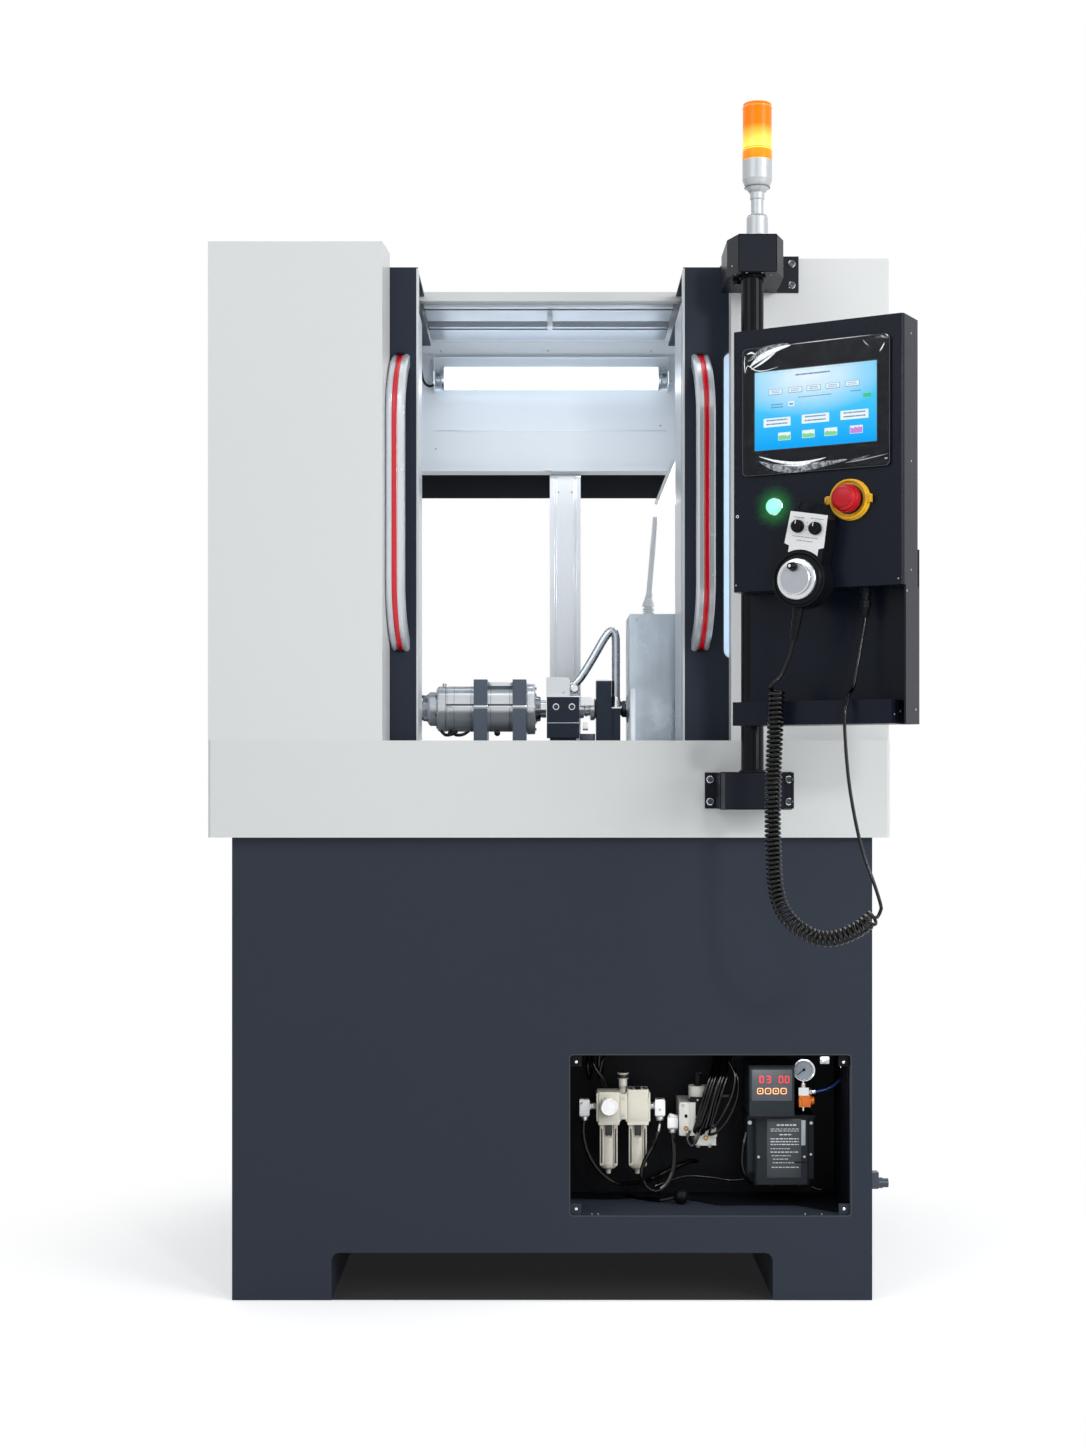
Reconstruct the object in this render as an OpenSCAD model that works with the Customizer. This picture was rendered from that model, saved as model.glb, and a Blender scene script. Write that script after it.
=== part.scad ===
// Rotary file grinding machine: a floor-standing cabinet with two sliding doors,
// a grinding spindle and a work head inside, a swivelling control panel on a pole
// and an air and lubrication bay in the base.
// Units are millimetres. X runs to the right, Y to the back, Z up.

/* [Skirt and enclosure] */
// Width of the white skirt round the enclosure
skirt_w = 1174; // [1100:1:1400]
// Depth from the skirt's front face to the rear face
machine_d = 1000; // [960:1:1200]
// Height of the skirt band
skirt_h = 167; // [120:1:220]
// Wall of the enclosure's folded sheets
sheet = 2; // [1.5:0.1:3]
// Rounding of the skirt's upright corners
skirt_corner = 6; // [3:0.5:12]
// Width of the left cover, which holds the left door when it is open
left_cover_w = 300; // [260:1:340]
// Width of the right cover
right_cover_w = 270; // [240:1:300]
// How far the right cover's front lies behind the skirt's front
right_cover_inset = 40; // [20:1:60]
// Height of the left cover above the skirt
left_cover_h = 859; // [780:1:1000]
// How much lower the right cover is than the left one
cover_step = 20; // [0:1:40]
// How much lower the roof is than the left cover
roof_step = 17; // [10:1:40]
// How far behind the skirt's front the roof starts
roof_start = 300; // [260:1:340]
// Height of the fold along the roof's front edge
roof_fold = 17; // [10:1:20]
// Half of the work area's clear width between its side walls
area_half_w = 300; // [290:1:305]

/* [Base] */
// Height of the base cabinet
base_h = 802; // [700:1:900]
// Wall of the base cabinet
base_wall = 3; // [2:0.5:5]
// How far the base lies inside the skirt at its left end
base_inset_left = 38; // [20:1:60]
// How far the base lies inside the skirt at its right end
base_inset_right = 27; // [20:1:60]
// How far the base lies behind the skirt's front
base_inset_front = 25; // [10:1:50]
// Height of the gap for a lift truck's forks
fork_h = 82; // [60:1:110]
// Width of each of the base's two feet
foot_w = 172; // [140:1:200]
// Rounding of the fork gap's upper corners
fork_corner = 15; // [5:1:25]

/* [Service bay] */
// Width of the bay in the base's front
bay_w = 487; // [470:1:490]
// Height of the bay
bay_h = 279; // [270:1:320]
// Depth of the bay
bay_d = 200; // [190:1:260]
// Height of the bay's floor above the ground
bay_z = 146; // [130:1:200]
// Distance from the base's right side to the bay
bay_from_right = 37; // [20:1:50]
// Diameter of the filter bowls
bowl_d = 32; // [24:1:34]
// Diameter of the air hoses
air_hose_d = 8; // [6:1:10]
// Diameter of the pressure gauge
gauge_d = 39; // [30:1:42]

/* [Doors] */
// Width of each sliding door
door_w = 342; // [330:1:345]
// Thickness of each door
door_t = 35; // [28:1:38]
// Distance from the skirt's front to the doors' front faces
door_y = 89; // [80:1:95]
// Where the two closed doors meet, measured from the machine's middle
door_meet_x = 3; // [0:1:10]
// Travel of each door from open to closed
door_travel = 234; // [220:1:240]
// Height of the door windows
window_h = 546; // [400:1:580]
// Width of the door windows
window_w = 238; // [200:1:250]
// Distance from a door's leading edge to its window
window_from_edge = 69; // [60:1:75]
// Rounding of the window corners
window_corner = 17; // [8:1:30]
// Thickness of the window panes
pane_t = 6; // [4:0.5:8]
// Height of the door handles
handle_h = 522; // [400:1:600]
// How far the handles bow out from the doors
handle_bow = 65; // [50:1:75]
// Width of the handle section
handle_w = 32; // [28:1:36]
// Thickness of the handle section
handle_t = 18; // [14:1:22]
// Width of the red strip let into each handle
strip_w = 10.5; // [6:1:12]

/* [Grinding spindle] */
// Height of the spindle's axis above the ground
axis_z = 1038; // [1030:1:1060]
// Distance from the skirt's front to the spindle's axis
axis_y = 430; // [420:1:460]
// Diameter of the spindle's body
spindle_d = 88; // [80:1:96]
// Length of the spindle's body
spindle_l = 188; // [180:1:205]
// Width of each split clamp along the spindle
clamp_w = 26; // [20:1:32]
// Height of the clamps' tops above the axis
clamp_rise = 54; // [53:1:60]
// Diameter of the spindle's shaft
shaft_d = 24; // [16:1:26]

/* [Work head] */
// Width of the work head's sheet cover
cover_w = 140; // [130:1:144]
// Depth of the work head's sheet cover
cover_d = 180; // [160:1:200]
// Height of the cover's top above the ground
cover_top = 1214; // [1150:1:1230]
// Diameter of the work spindle's nose
nose_d = 32; // [24:1:40]

/* [Control panel] */
// Width of the control box
box_w = 290; // [290:1:330]
// Height of the control box
box_h = 421; // [400:1:450]
// Depth of the control box
box_d = 70; // [60:1:80]
// Height of the control box's lower edge above the ground
box_z = 1205; // [1190:1:1215]
// How far the panel is turned towards the operator
panel_turn = 30; // [0:1:40]
// Diameter of the pole
pole_d = 38; // [32:1:42]
// Diameter of the hand wheel's dial
dial_d = 64; // [50:1:70]
// Diameter of the emergency stop's red head
stop_d = 42; // [34:1:46]
// Diameter of the lit push button
button_d = 24; // [20:1:28]

/* [Beacon] */
// Diameter of the beacon's lens
lens_d = 50; // [40:1:60]
// Height of the beacon's lens
lens_h = 97; // [70:1:120]

/* [Hidden] */
$fn = 48;

skin_gap = 0.3;      // room between parts that move past each other
shaft_gap = 0.08;    // radial room of a shaft in its bore

// Heights and planes that the pieces share
skirt_top = base_h + skirt_h;
roof_z = skirt_top + left_cover_h - roof_step;
panel_reach = 353;   // how far the control panel stands out in front of the skirt
front_y = -(machine_d - panel_reach) / 2;

module from_front() translate([0, front_y, 0]) children();

// A box given by its two corners
module block(low, high) translate(low) cube(high - low);

// A rectangle with round corners, centred
module round_rect(w, h, r) {
    square([w - 2 * r, h], center = true);
    square([w, h - 2 * r], center = true);
    for (sx = [-1, 1], sz = [-1, 1]) translate([sx * (w / 2 - r), sz * (h / 2 - r)]) circle(r);
}

// A flat plate that faces the front, centred on x and z, from y0 back to y1
module front_plate(x, z, w, h, r, y0, y1) {
    translate([x, y1, z]) rotate([90, 0, 0]) linear_extrude(y1 - y0) round_rect(w, h, r);
}

// Cylinders along the three axes, from their low end
module rod_x(x0, x1, y, z, d) translate([x0, y, z]) rotate([0, 90, 0]) cylinder(h = x1 - x0, d = d);
module rod_y(y0, y1, x, z, d) translate([x, y1, z]) rotate([90, 0, 0]) cylinder(h = y1 - y0, d = d);
module rod_z(z0, z1, x, y, d) translate([x, y, z0]) cylinder(h = z1 - z0, d = d);

// A tube swept along a smooth curve through a few points
function unit(v) = v / norm(v);
function pick(p, i) = p[max(0, min(len(p) - 1, i))];
function between(a, b, c, d, t) =
    0.5 * (2 * b + (c - a) * t + (2 * a - 5 * b + 4 * c - d) * t * t
        + (3 * b - a - 3 * c + d) * t * t * t);
function smooth(p, steps) = [
    for (i = [0:len(p) - 2], k = [0:steps - 1])
        between(pick(p, i - 1), p[i], p[i + 1], pick(p, i + 2), k / steps),
    p[len(p) - 1]
];
function headings(p) = [for (i = [0:len(p) - 1]) unit(pick(p, i + 1) - pick(p, i - 1))];
function carried(t, n, i = 0) =
    i == len(t) ? [] : let (m = unit(n - (n * t[i]) * t[i])) concat([m], carried(t, m, i + 1));

module swept_tube(points, steps, d, sides = 8) {
    path = smooth(points, steps);
    t = headings(path);
    n = carried(t, cross(t[0], [0.3, 0.9, 0.2]));
    rings = [
        for (i = [0:len(path) - 1], k = [0:sides - 1])
            path[i] + d / 2 * (cos(360 * k / sides) * n[i] + sin(360 * k / sides) * cross(t[i], n[i]))
    ];
    last = (len(path) - 1) * sides;
    polyhedron(rings, concat(
        [[for (k = [0:sides - 1]) k]],
        [[for (k = [sides - 1:-1:0]) last + k]],
        [
            for (i = [0:len(path) - 2], k = [0:sides - 1])
                let (a = i * sides + k, b = i * sides + (k + 1) % sides)
                    [a, a + sides, b + sides, b]
        ]
    ));
}

// ---------------------------------------------------------------- base cabinet
base_x0 = -skirt_w / 2 + base_inset_left;
base_x1 = skirt_w / 2 - base_inset_right;
base_y0 = base_inset_front;
base_y1 = machine_d - base_inset_front;
base_rim = 60;       // width of the flange that the bed stands on
fork_x0 = base_x0 + foot_w;
fork_x1 = base_x1 - foot_w;
bay_x1 = base_x1 - bay_from_right;
bay_x0 = bay_x1 - bay_w;
bay_mid_x = (bay_x0 + bay_x1) / 2;
bay_mid_z = bay_z + bay_h / 2;
bay_back = base_y0 + bay_d;
bay_corner = 6;
tab_w = 20;          // corner tabs that take the bay cover's screws
tab_hole_d = 5;

module fork_outline(grow) {
    w = fork_x1 - fork_x0 + 2 * grow;
    h = fork_h + grow;
    translate([(fork_x0 + fork_x1) / 2, 0]) {
        translate([-w / 2, -10]) square([w, h + 10 - fork_corner]);
        translate([-w / 2 + fork_corner, -10]) square([w - 2 * fork_corner, h + 10]);
        for (s = [-1, 1]) translate([s * (w / 2 - fork_corner), h - fork_corner]) circle(fork_corner);
    }
}

module base_shell() {
    difference() {
        block([base_x0, base_y0, 0], [base_x1, base_y1, base_h]);
        difference() {
            block([base_x0 + base_wall, base_y0 + base_wall, base_wall],
                [base_x1 - base_wall, base_y1 - base_wall, base_h - base_wall]);
            translate([0, base_y1 + 1, 0]) rotate([90, 0, 0])
                linear_extrude(base_y1 - base_y0 + 2) fork_outline(base_wall);
        }
        block([base_x0 + base_rim, base_y0 + base_rim, base_h - 2 * base_wall],
            [base_x1 - base_rim, base_y1 - base_rim, base_h + 1]);
        translate([0, base_y1 + 1, 0]) rotate([90, 0, 0])
            linear_extrude(base_y1 - base_y0 + 2) fork_outline(0);
    }
    block([bay_x0 - sheet, base_y0 + 1, bay_z - sheet],
        [bay_x1 + sheet, bay_back + sheet, bay_z + bay_h + sheet]);
}

module base_cabinet() color("#3a4049") from_front() {
    difference() {
        base_shell();
        front_plate(bay_mid_x, bay_mid_z, bay_w, bay_h, bay_corner, base_y0 - 1, bay_back);
    }
    for (sx = [-1, 1], sz = [-1, 1])
        translate([bay_mid_x + sx * (bay_w - tab_w) / 2, 0, bay_mid_z + sz * (bay_h - tab_w) / 2])
            difference() {
                block([-tab_w / 2, base_y0 + 6, -tab_w / 2], [tab_w / 2, base_y0 + 6 + sheet, tab_w / 2]);
                rod_y(base_y0, base_y0 + 20, 0, 0, tab_hole_d);
            }
}

// The compressed air inlet on the cabinet's right side
coupler_y = 120;
coupler_z = 185;
coupler_bore = 10;
coupler_len = 43;

module air_coupler() color("#3c4046") from_front() translate([base_x1, coupler_y, coupler_z])
    difference() {
        union() {
            rod_x(0, 8, 0, 0, 30);
            rod_x(8, 25, 0, 0, 22);
            block([9, -11, 0], [25, 11, 20]);
            rod_x(25, 33, 0, 0, 19);
            rod_x(33, coupler_len, 0, 0, 16);
        }
        rod_x(coupler_len - 20, coupler_len + 1, 0, 0, coupler_bore);
    }

// ---------------------------------------------------------------- skirt
sill_flange = 46;    // width of the flange along the skirt's front
side_flange = 7;     // and along its sides, clear of the open doors
ledge_drop = 22;     // how far the door ledge lies under the skirt's top
ledge_back = 132;
ledge_z = skirt_top - ledge_drop;

module skirt() color("#d0d4d3") from_front() {
    mid = machine_d / 2;
    difference() {
        translate([0, mid, base_h]) linear_extrude(skirt_h) round_rect(skirt_w, machine_d, skirt_corner);
        translate([0, mid, base_h + sheet]) linear_extrude(skirt_h - 2 * sheet)
            round_rect(skirt_w - 2 * sheet, machine_d - 2 * sheet, skirt_corner - sheet);
        block([-skirt_w / 2 + base_rim, base_rim, base_h - 1],
            [skirt_w / 2 - base_rim, machine_d - base_rim, base_h + 2 * sheet]);
        block([-skirt_w / 2 + side_flange, sill_flange, skirt_top - 2 * sheet],
            [skirt_w / 2 - side_flange, machine_d - sheet, skirt_top + 1]);
    }
    block([-skirt_w / 2 + sheet, sill_flange - sheet, ledge_z],
        [skirt_w / 2 - sheet, sill_flange, skirt_top - sheet]);
    block([-skirt_w / 2 + sheet, sill_flange - sheet, ledge_z - sheet],
        [skirt_w / 2 - sheet, ledge_back, ledge_z]);
}

// ---------------------------------------------------------------- covers
left_top = skirt_top + left_cover_h;
right_top = left_top - cover_step;
left_edge = -skirt_w / 2 + left_cover_w;       // inner front edge of the left cover
right_edge = skirt_w / 2 - right_cover_w;      // inner front edge of the right cover
return_end = door_y - 3;                       // the folded return stops in front of the door
return_lean = 7;                               // how far the left return leans inwards
liner_x = area_half_w + sheet;
right_bulge = 4;                               // the right cover stands out past the skirt
left_setback = 1;                              // the left cover's face lies this far behind the skirt's
top_slot = 6;                                  // room under the doors' tops in the covers' inner walls
door_top = right_top - sheet - 1;

module left_plan(t) {
    polygon([
        [-skirt_w / 2 + t, left_setback + t], [left_edge - t, left_setback + t],
        [left_edge + return_lean - t, return_end + (t > 0 ? 1 : 0)],
        [-liner_x - t, return_end + (t > 0 ? 1 : 0)], [-liner_x - t, machine_d - t],
        [-skirt_w / 2 + t, machine_d - t]
    ]);
}

module left_cover() color("#dadddd") from_front() difference() {
    translate([0, 0, skirt_top]) linear_extrude(left_cover_h) left_plan(0);
    translate([0, 0, skirt_top - 1]) linear_extrude(left_cover_h + 1 - sheet) left_plan(sheet);
    // The door passes out through the open side behind the folded return
    block([min(-liner_x, left_edge) - 10, return_end - sheet, skirt_top - 1],
        [max(-liner_x, left_edge) + 20, door_y + door_t + 6, left_top - sheet]);
    block([-liner_x - 10, door_y, door_top - top_slot], [-area_half_w, roof_start, left_top - sheet]);
}

module right_plan(t) {
    polygon([
        [right_edge + t, right_cover_inset + t], [skirt_w / 2 + right_bulge - t, right_cover_inset + t],
        [skirt_w / 2 + right_bulge - t, machine_d - t], [liner_x + t, machine_d - t],
        [liner_x + t, return_end + 1], [right_edge + t, return_end + 1]
    ]);
}

module right_cover() color("#dadddd") from_front() difference() {
    translate([0, 0, skirt_top]) linear_extrude(right_top - skirt_top) right_plan(0);
    translate([0, 0, skirt_top - 1]) linear_extrude(right_top - skirt_top + 1 - sheet) right_plan(sheet);
    block([min(liner_x, right_edge) - 10, return_end - sheet, skirt_top - 1],
        [max(liner_x, right_edge) + 20, door_y + door_t + 6, right_top - sheet]);
    block([area_half_w, door_y, door_top - top_slot], [liner_x + 10, roof_start, right_top - sheet]);
}

// ---------------------------------------------------------------- roof and work area
rail_count = 2;
rail_w = 118;                    // front to back
rail_pitch = 170;
rail_rise = 14;
rail_half_l = area_half_w - 66;
rail_y0 = roof_start + 24;
stop_w = 10;                     // the door stop hangs between the two doors' arms
arm_t = 4;                       // the doors' arms reach back under the roof
arm_z = roof_z - roof_fold - rail_rise - skin_gap - arm_t;
arm_rib = 18;                    // the arm's stiffening rib hangs this low
arm_back = rail_y0 + rail_pitch + rail_w;
liner_top = arm_z - arm_rib - 6;
header_y = 725;                  // front of the rear header wall
header_low = 1540;
header_lip = 14;
rear_top = 1521;                 // the rear opening
rear_half_w = 296;
rear_t = 4;

module roof_panel() color("#d5d9da") from_front() {
    block([-liner_x, roof_start, roof_z - sheet], [liner_x, machine_d, roof_z]);
    block([-liner_x, roof_start, roof_z - roof_fold], [liner_x, roof_start + sheet, roof_z]);
    block([-liner_x, roof_start, roof_z - roof_fold], [liner_x, rail_y0, roof_z - roof_fold + sheet]);
}

// Two aluminium channels under the roof, and the stop that ends the doors' travel
module ceiling_channels() {
    top = roof_z - sheet;
    low = roof_z - roof_fold - rail_rise + 8;
    for (i = [0:rail_count - 1]) translate([0, rail_y0 + i * rail_pitch, 0])
        difference() {
            block([-rail_half_l, 0, low], [rail_half_l, rail_w, top]);
            block([-rail_half_l - 1, 6, low + 6], [rail_half_l + 1, rail_w - 6, top - 3]);
            block([-rail_half_l - 1, 14, low - 1], [rail_half_l + 1, 26, low + 7]);
        }
    block([door_meet_x - stop_w / 2, rail_y0 + 60, arm_z - 10],
        [door_meet_x + stop_w / 2, rail_y0 + 96, low]);
}

// Folded side walls of the work area, which return forward behind the doors
cheek_x = door_travel + 2;
module area_liner() color("#d8dcde") from_front() {
    z0 = bed_top;
    for (s = [0, 1]) mirror([s, 0, 0]) {
        block([-liner_x, roof_start, z0], [-area_half_w, machine_d - rear_t, liner_top]);
        block([-liner_x, roof_start, z0], [-cheek_x, roof_start + sheet, liner_top]);
        block([-cheek_x - sheet, door_y + door_t + 5, ledge_z + 15],
            [-cheek_x, roof_start + sheet, liner_top]);
    }
}

// The wall above the rear opening, with a fold and a lip at its foot
module header_panel() color("#d5dce0") from_front() {
    fold_z = header_low + 85;
    block([-area_half_w, header_y + 4, fold_z], [area_half_w, header_y + 4 + sheet, roof_z - sheet]);
    block([-area_half_w, header_y, fold_z - sheet], [area_half_w, header_y + 6, fold_z]);
    block([-area_half_w, header_y, header_low], [area_half_w, header_y + sheet, fold_z]);
    block([-area_half_w, header_y - header_lip, header_low - sheet],
        [area_half_w, header_y + 40, header_low]);
    block([-area_half_w, header_y - header_lip, header_low - sheet],
        [area_half_w, header_y - header_lip + sheet, header_low + 10]);
}

// The dark rear wall with the opening behind the work area
module rear_frame() color("#23282f") from_front() difference() {
    block([-liner_x + sheet, machine_d - rear_t, skirt_top], [liner_x - sheet, machine_d, roof_z - sheet]);
    block([-rear_half_w, machine_d - rear_t - 1, skirt_top - 1], [rear_half_w, machine_d + 1, rear_top]);
}

// A grooved aluminium extrusion that stands in the rear opening
post_w = 64;
post_x = 36;
post_y = 750;
module rear_post() color("#dfe3e6") from_front() translate([post_x, post_y, bed_top])
    linear_extrude(header_low - sheet - bed_top) difference() {
        translate([-post_w / 2, 0]) square([post_w, post_w / 2]);
        for (s = [-1, 1]) translate([s * 20 - 1.5, -1]) square([3, 4]);
        for (s = [-1, 1]) translate([s * 16, post_w / 4]) circle(d = 12);
    }

lamp_z = 1725;
lamp_d = 46;
lamp_y = header_y - 36;
lamp_x = [-234, 247];            // ends of the lamp's tray
lamp_end = 22;                   // length of the holder at each end
module tube_lamp() color("white") from_front() {
    rod_x(lamp_x[0] + lamp_end - 2, lamp_x[1] - lamp_end + 2, lamp_y, lamp_z, lamp_d);
    for (x = [lamp_x[0], lamp_x[1] - lamp_end])
        block([x, lamp_y - 12, lamp_z - 12], [x + lamp_end, header_y, lamp_z + 12]);
    block([lamp_x[0], header_y - 10, lamp_z - 14], [lamp_x[1], header_y + 4, lamp_z + 46]);
}

// The doors run on a straight rail behind the skirt and are steadied under the roof
rail_bar_w = 20;
rail_bar_h = 12;
module door_rails() color("#c4c8cc") from_front() {
    ceiling_channels();
    block([-skirt_w / 2 + 12, door_y + (door_t - rail_bar_w) / 2, ledge_z],
        [skirt_w / 2 - 12, door_y + (door_t + rail_bar_w) / 2, ledge_z + rail_bar_h]);
}

// ---------------------------------------------------------------- bed and slides
bed_h = 44;
bed_top = base_h + bed_h;
bed_margin = 67;
bed_web = 12;
guide_w = 20;
guide_h = 18;
carriage_h = 26;       // height of a bearing block above the bed
plate_h = 20;          // thickness of a saddle plate
saddle_z = bed_top + carriage_h;
spindle_x1 = -25;      // right end of the spindle's body
spindle_x0 = spindle_x1 - spindle_l;
grind_y = [axis_y - 70, axis_y + 70];
grind_x = [-296, 30];
work_x = [190, 262];
work_y = [310, 590];
cover_x0 = 153;
cover_x1 = cover_x0 + cover_w;
cover_y0 = axis_y - cover_d / 2;
cover_y1 = axis_y + cover_d / 2;

module machine_bed() color("#4a4f55") from_front() difference() {
    block([-skirt_w / 2 + bed_margin, bed_margin, base_h],
        [skirt_w / 2 - bed_margin, machine_d - bed_margin, bed_top]);
    for (y = [180, 260, 640, 860]) block([-skirt_w, y, bed_top - 10], [skirt_w, y + bed_web, bed_top + 1]);
}

module guide_rail(l) difference() {
    block([0, -guide_w / 2, 0], [l, guide_w / 2, guide_h]);
    for (s = [-1, 1]) translate([-1, s * guide_w / 2, guide_h * 0.62]) rotate([45, 0, 0])
        cube([l + 2, 4, 4]);
}

module slide_rails() color("#c9ccd0") from_front() {
    for (y = grind_y) translate([grind_x[0], y, bed_top]) guide_rail(grind_x[1] - grind_x[0]);
    for (x = work_x) translate([x, work_y[0], bed_top]) rotate([0, 0, 90]) guide_rail(work_y[1] - work_y[0]);
}

// A bearing block over a rail that runs along X, centred on the origin
module carriage(l = 60) difference() {
    block([-l / 2, -22, 5], [l / 2, 22, carriage_h]);
    block([-l / 2 - 1, -guide_w / 2 - skin_gap, 0], [l / 2 + 1, guide_w / 2 + skin_gap, guide_h + skin_gap]);
}

clamp_x = [-142, -68];
clamp_foot = 975;
module spindle_saddle() color("#5b6067") from_front() {
    for (x = [-205, -55], y = grind_y) translate([x, y, bed_top]) carriage();
    block([-250, axis_y - 95, saddle_z], [-20, axis_y + 95, saddle_z + plate_h]);
    block([-150, axis_y - 46, saddle_z + plate_h], [-34, axis_y + 46, clamp_foot]);
}

split_gap = 3;
module split_clamp() difference() {
    block([0, axis_y - 62, clamp_foot], [clamp_w, axis_y + 62, axis_z + clamp_rise]);
    rod_x(-1, clamp_w + 1, axis_y, axis_z, spindle_d + 2 * shaft_gap);
    block([-1, axis_y - 63, axis_z - split_gap / 2], [clamp_w + 1, axis_y - 40, axis_z + split_gap / 2]);
    block([-1, axis_y + 40, axis_z - split_gap / 2], [clamp_w + 1, axis_y + 63, axis_z + split_gap / 2]);
    for (s = [-1, 1]) rod_z(axis_z, axis_z + clamp_rise + 1, clamp_w / 2, axis_y + s * 56, 7);
    for (s = [-1, 1]) translate([-1, axis_y + s * 62, axis_z + clamp_rise]) rotate([45, 0, 0])
        cube([clamp_w + 2, 9, 9], center = false);
}

// The two clamps, tied by a ground bridge along the top of the body
module spindle_clamps() color("#474d54") from_front() {
    for (x = clamp_x) translate([x, 0, 0]) split_clamp();
    difference() {
        block([clamp_x[0] + clamp_w, axis_y - 24, axis_z + 30],
            [clamp_x[1], axis_y + 24, axis_z + clamp_rise - 4]);
        rod_x(clamp_x[0], clamp_x[1] + clamp_w, axis_y, axis_z, spindle_d + 2 * shaft_gap);
    }
}

// The motor spindle: a ground body with a groove, a front flange and a stepped rear cap
flange_l = 16;
module spindle_body() color("#c6cbd1") from_front() translate([spindle_x0, axis_y, axis_z]) rotate([0, 90, 0])
    difference() {
        rotate_extrude() polygon([
            [0, -30], [16, -30], [18, -28], [18, -18], [29, -18], [33, -14], [33, -1], [35, 0],
            [spindle_d / 2 - 3, 0], [spindle_d / 2, 3], [spindle_d / 2, 16], [spindle_d / 2 - 1, 17],
            [spindle_d / 2 - 1, 19], [spindle_d / 2, 20], [spindle_d / 2, spindle_l - flange_l],
            [spindle_d / 2 + 4.5, spindle_l - flange_l], [spindle_d / 2 + 5, spindle_l - flange_l + 1],
            [spindle_d / 2 + 5, spindle_l - 2], [spindle_d / 2 + 3, spindle_l], [0, spindle_l]
        ]);
        translate([0, 0, spindle_l - 80]) cylinder(h = 81, d = shaft_d + 2 * shaft_gap);
    }

module spindle_shaft() color("#e4e7ea")
    from_front() translate([spindle_x1, axis_y, axis_z]) rotate([0, 90, 0]) {
    translate([0, 0, -78]) cylinder(h = 79, d = shaft_d);
    translate([0, 0, skin_gap]) cylinder(h = 10, d1 = 52, d2 = 46);
    translate([0, 0, 10]) cylinder(h = 11, d = 34);
}

// Steady in the middle: a split block on a pillar, with a pale nozzle block on top
steady_x = [-3, 59];
steady_y = [axis_y - 32, axis_y + 28];
steady_low = 982;
steady_top = 1061;
module steady_block() color("#3b4047") from_front() difference() {
    union() {
        block([steady_x[0], steady_y[0], steady_low], [steady_x[1], steady_y[1], steady_top]);
        block([steady_x[0] + 6, steady_y[0] + 8, bed_top], [steady_x[1] - 6, steady_y[1] - 8, steady_low]);
    }
    block([steady_x[0] - 1, steady_y[0] - 1, 1009], [steady_x[1] + 1, steady_y[0] + 10, 1010.5]);
    rod_x(steady_x[0] - 1, steady_x[1] + 1, axis_y, axis_z, 20);
    for (x = [14.5, 45]) rod_y(steady_y[0] - 1, steady_y[0] + 7, x, 1041, 10);
}

cap_x = [-4, 41];
cap_h = 37;
module steady_cap() difference() {
    block([cap_x[0], steady_y[0] + 6, steady_top], [cap_x[1], steady_y[1] - 8, steady_top + cap_h]);
    translate([cap_x[1] - 4, steady_y[0] + 5, steady_top + cap_h]) rotate([0, 45, 0]) cube([12, 60, 12]);
}

// Turned bush between the steady and the rest plate
plate_x = [92, 121];
module guide_bush() translate([steady_x[1], axis_y, axis_z]) rotate([0, 90, 0])
    rotate_extrude() polygon([
        [5, 0], [18, 0], [18, 9], [13, 11], [13, 20], [22, 22], [22, 29], [16, plate_x[0] - steady_x[1]],
        [5, plate_x[0] - steady_x[1]]
    ]);

module steady_fittings() color("#dfe3e6") from_front() {
    steady_cap();
    guide_bush();
}

heel_x1 = 138;
heel_top = 1040;
module rest_plate() color("#343940") from_front() difference() {
    union() {
        block([plate_x[0], axis_y - 30, bed_top], [plate_x[1], axis_y + 30, 1092]);
        block([plate_x[1], axis_y - 24, bed_top], [heel_x1, axis_y + 24, heel_top]);
    }
    rod_x(plate_x[0] - 1, heel_x1 + 1, axis_y, axis_z, 14);
}

// Bent steel pipe from the nozzle block up and over to the rest plate
pipe_d = 16;
pipe_points = [
    [cap_x[1] - 2, axis_y - 4, 1074], [62, axis_y - 4, 1098], [86, axis_y - 4, 1136], [108, axis_y - 4, 1174],
    [121, axis_y - 4, 1188], [129, axis_y - 4, 1180], [130, axis_y - 4, 1150], [130, axis_y - 4, 1100],
    [130, axis_y - 4, heel_top]
];
module coolant_pipe() color("#b4bac0") from_front() swept_tube(pipe_points, 3, pipe_d, 12);

// ---------------------------------------------------------------- work head
head_x = [168, 284];
module head_saddle() {
    for (x = work_x, y = [cover_y0 + 34, cover_y1 - 34])
        translate([x, y, bed_top]) rotate([0, 0, 90]) carriage(52);
    block([cover_x0 + 4, cover_y0, saddle_z], [cover_x1, cover_y1, saddle_z + plate_h]);
}

module head_stock() color("#6a7077") from_front() difference() {
    union() {
        head_saddle();
        block([head_x[0], axis_y - 60, saddle_z + plate_h], [head_x[1], axis_y + 60, axis_z]);
        rod_x(head_x[0], head_x[1], axis_y, axis_z, 120);
    }
    rod_x(head_x[0] - 1, head_x[1] + 1, axis_y, axis_z, nose_d + 2 * shaft_gap);
}

nose_hole_d = nose_d + 12;
module head_cover() color("#b9c0c6") from_front() difference() {
    block([cover_x0, cover_y0, saddle_z + plate_h], [cover_x1, cover_y1, cover_top]);
    block([cover_x0 + sheet, cover_y0 + sheet, saddle_z + plate_h - 1],
        [cover_x1 - sheet, cover_y1 - sheet, cover_top - sheet]);
    rod_x(cover_x0 - 1, cover_x0 + sheet + 1, axis_y, axis_z, nose_hole_d);
}

nose_x0 = 140;
nose_l = head_x[1] - nose_x0 - 6;
module work_spindle() color("#17191c") from_front() translate([nose_x0, axis_y, axis_z]) rotate([0, 90, 0])
    rotate_extrude() polygon([
        [4, 0], [nose_d / 2 - 3, 0], [nose_d / 2, 3], [nose_d / 2, nose_l], [4, nose_l]
    ]);

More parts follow.
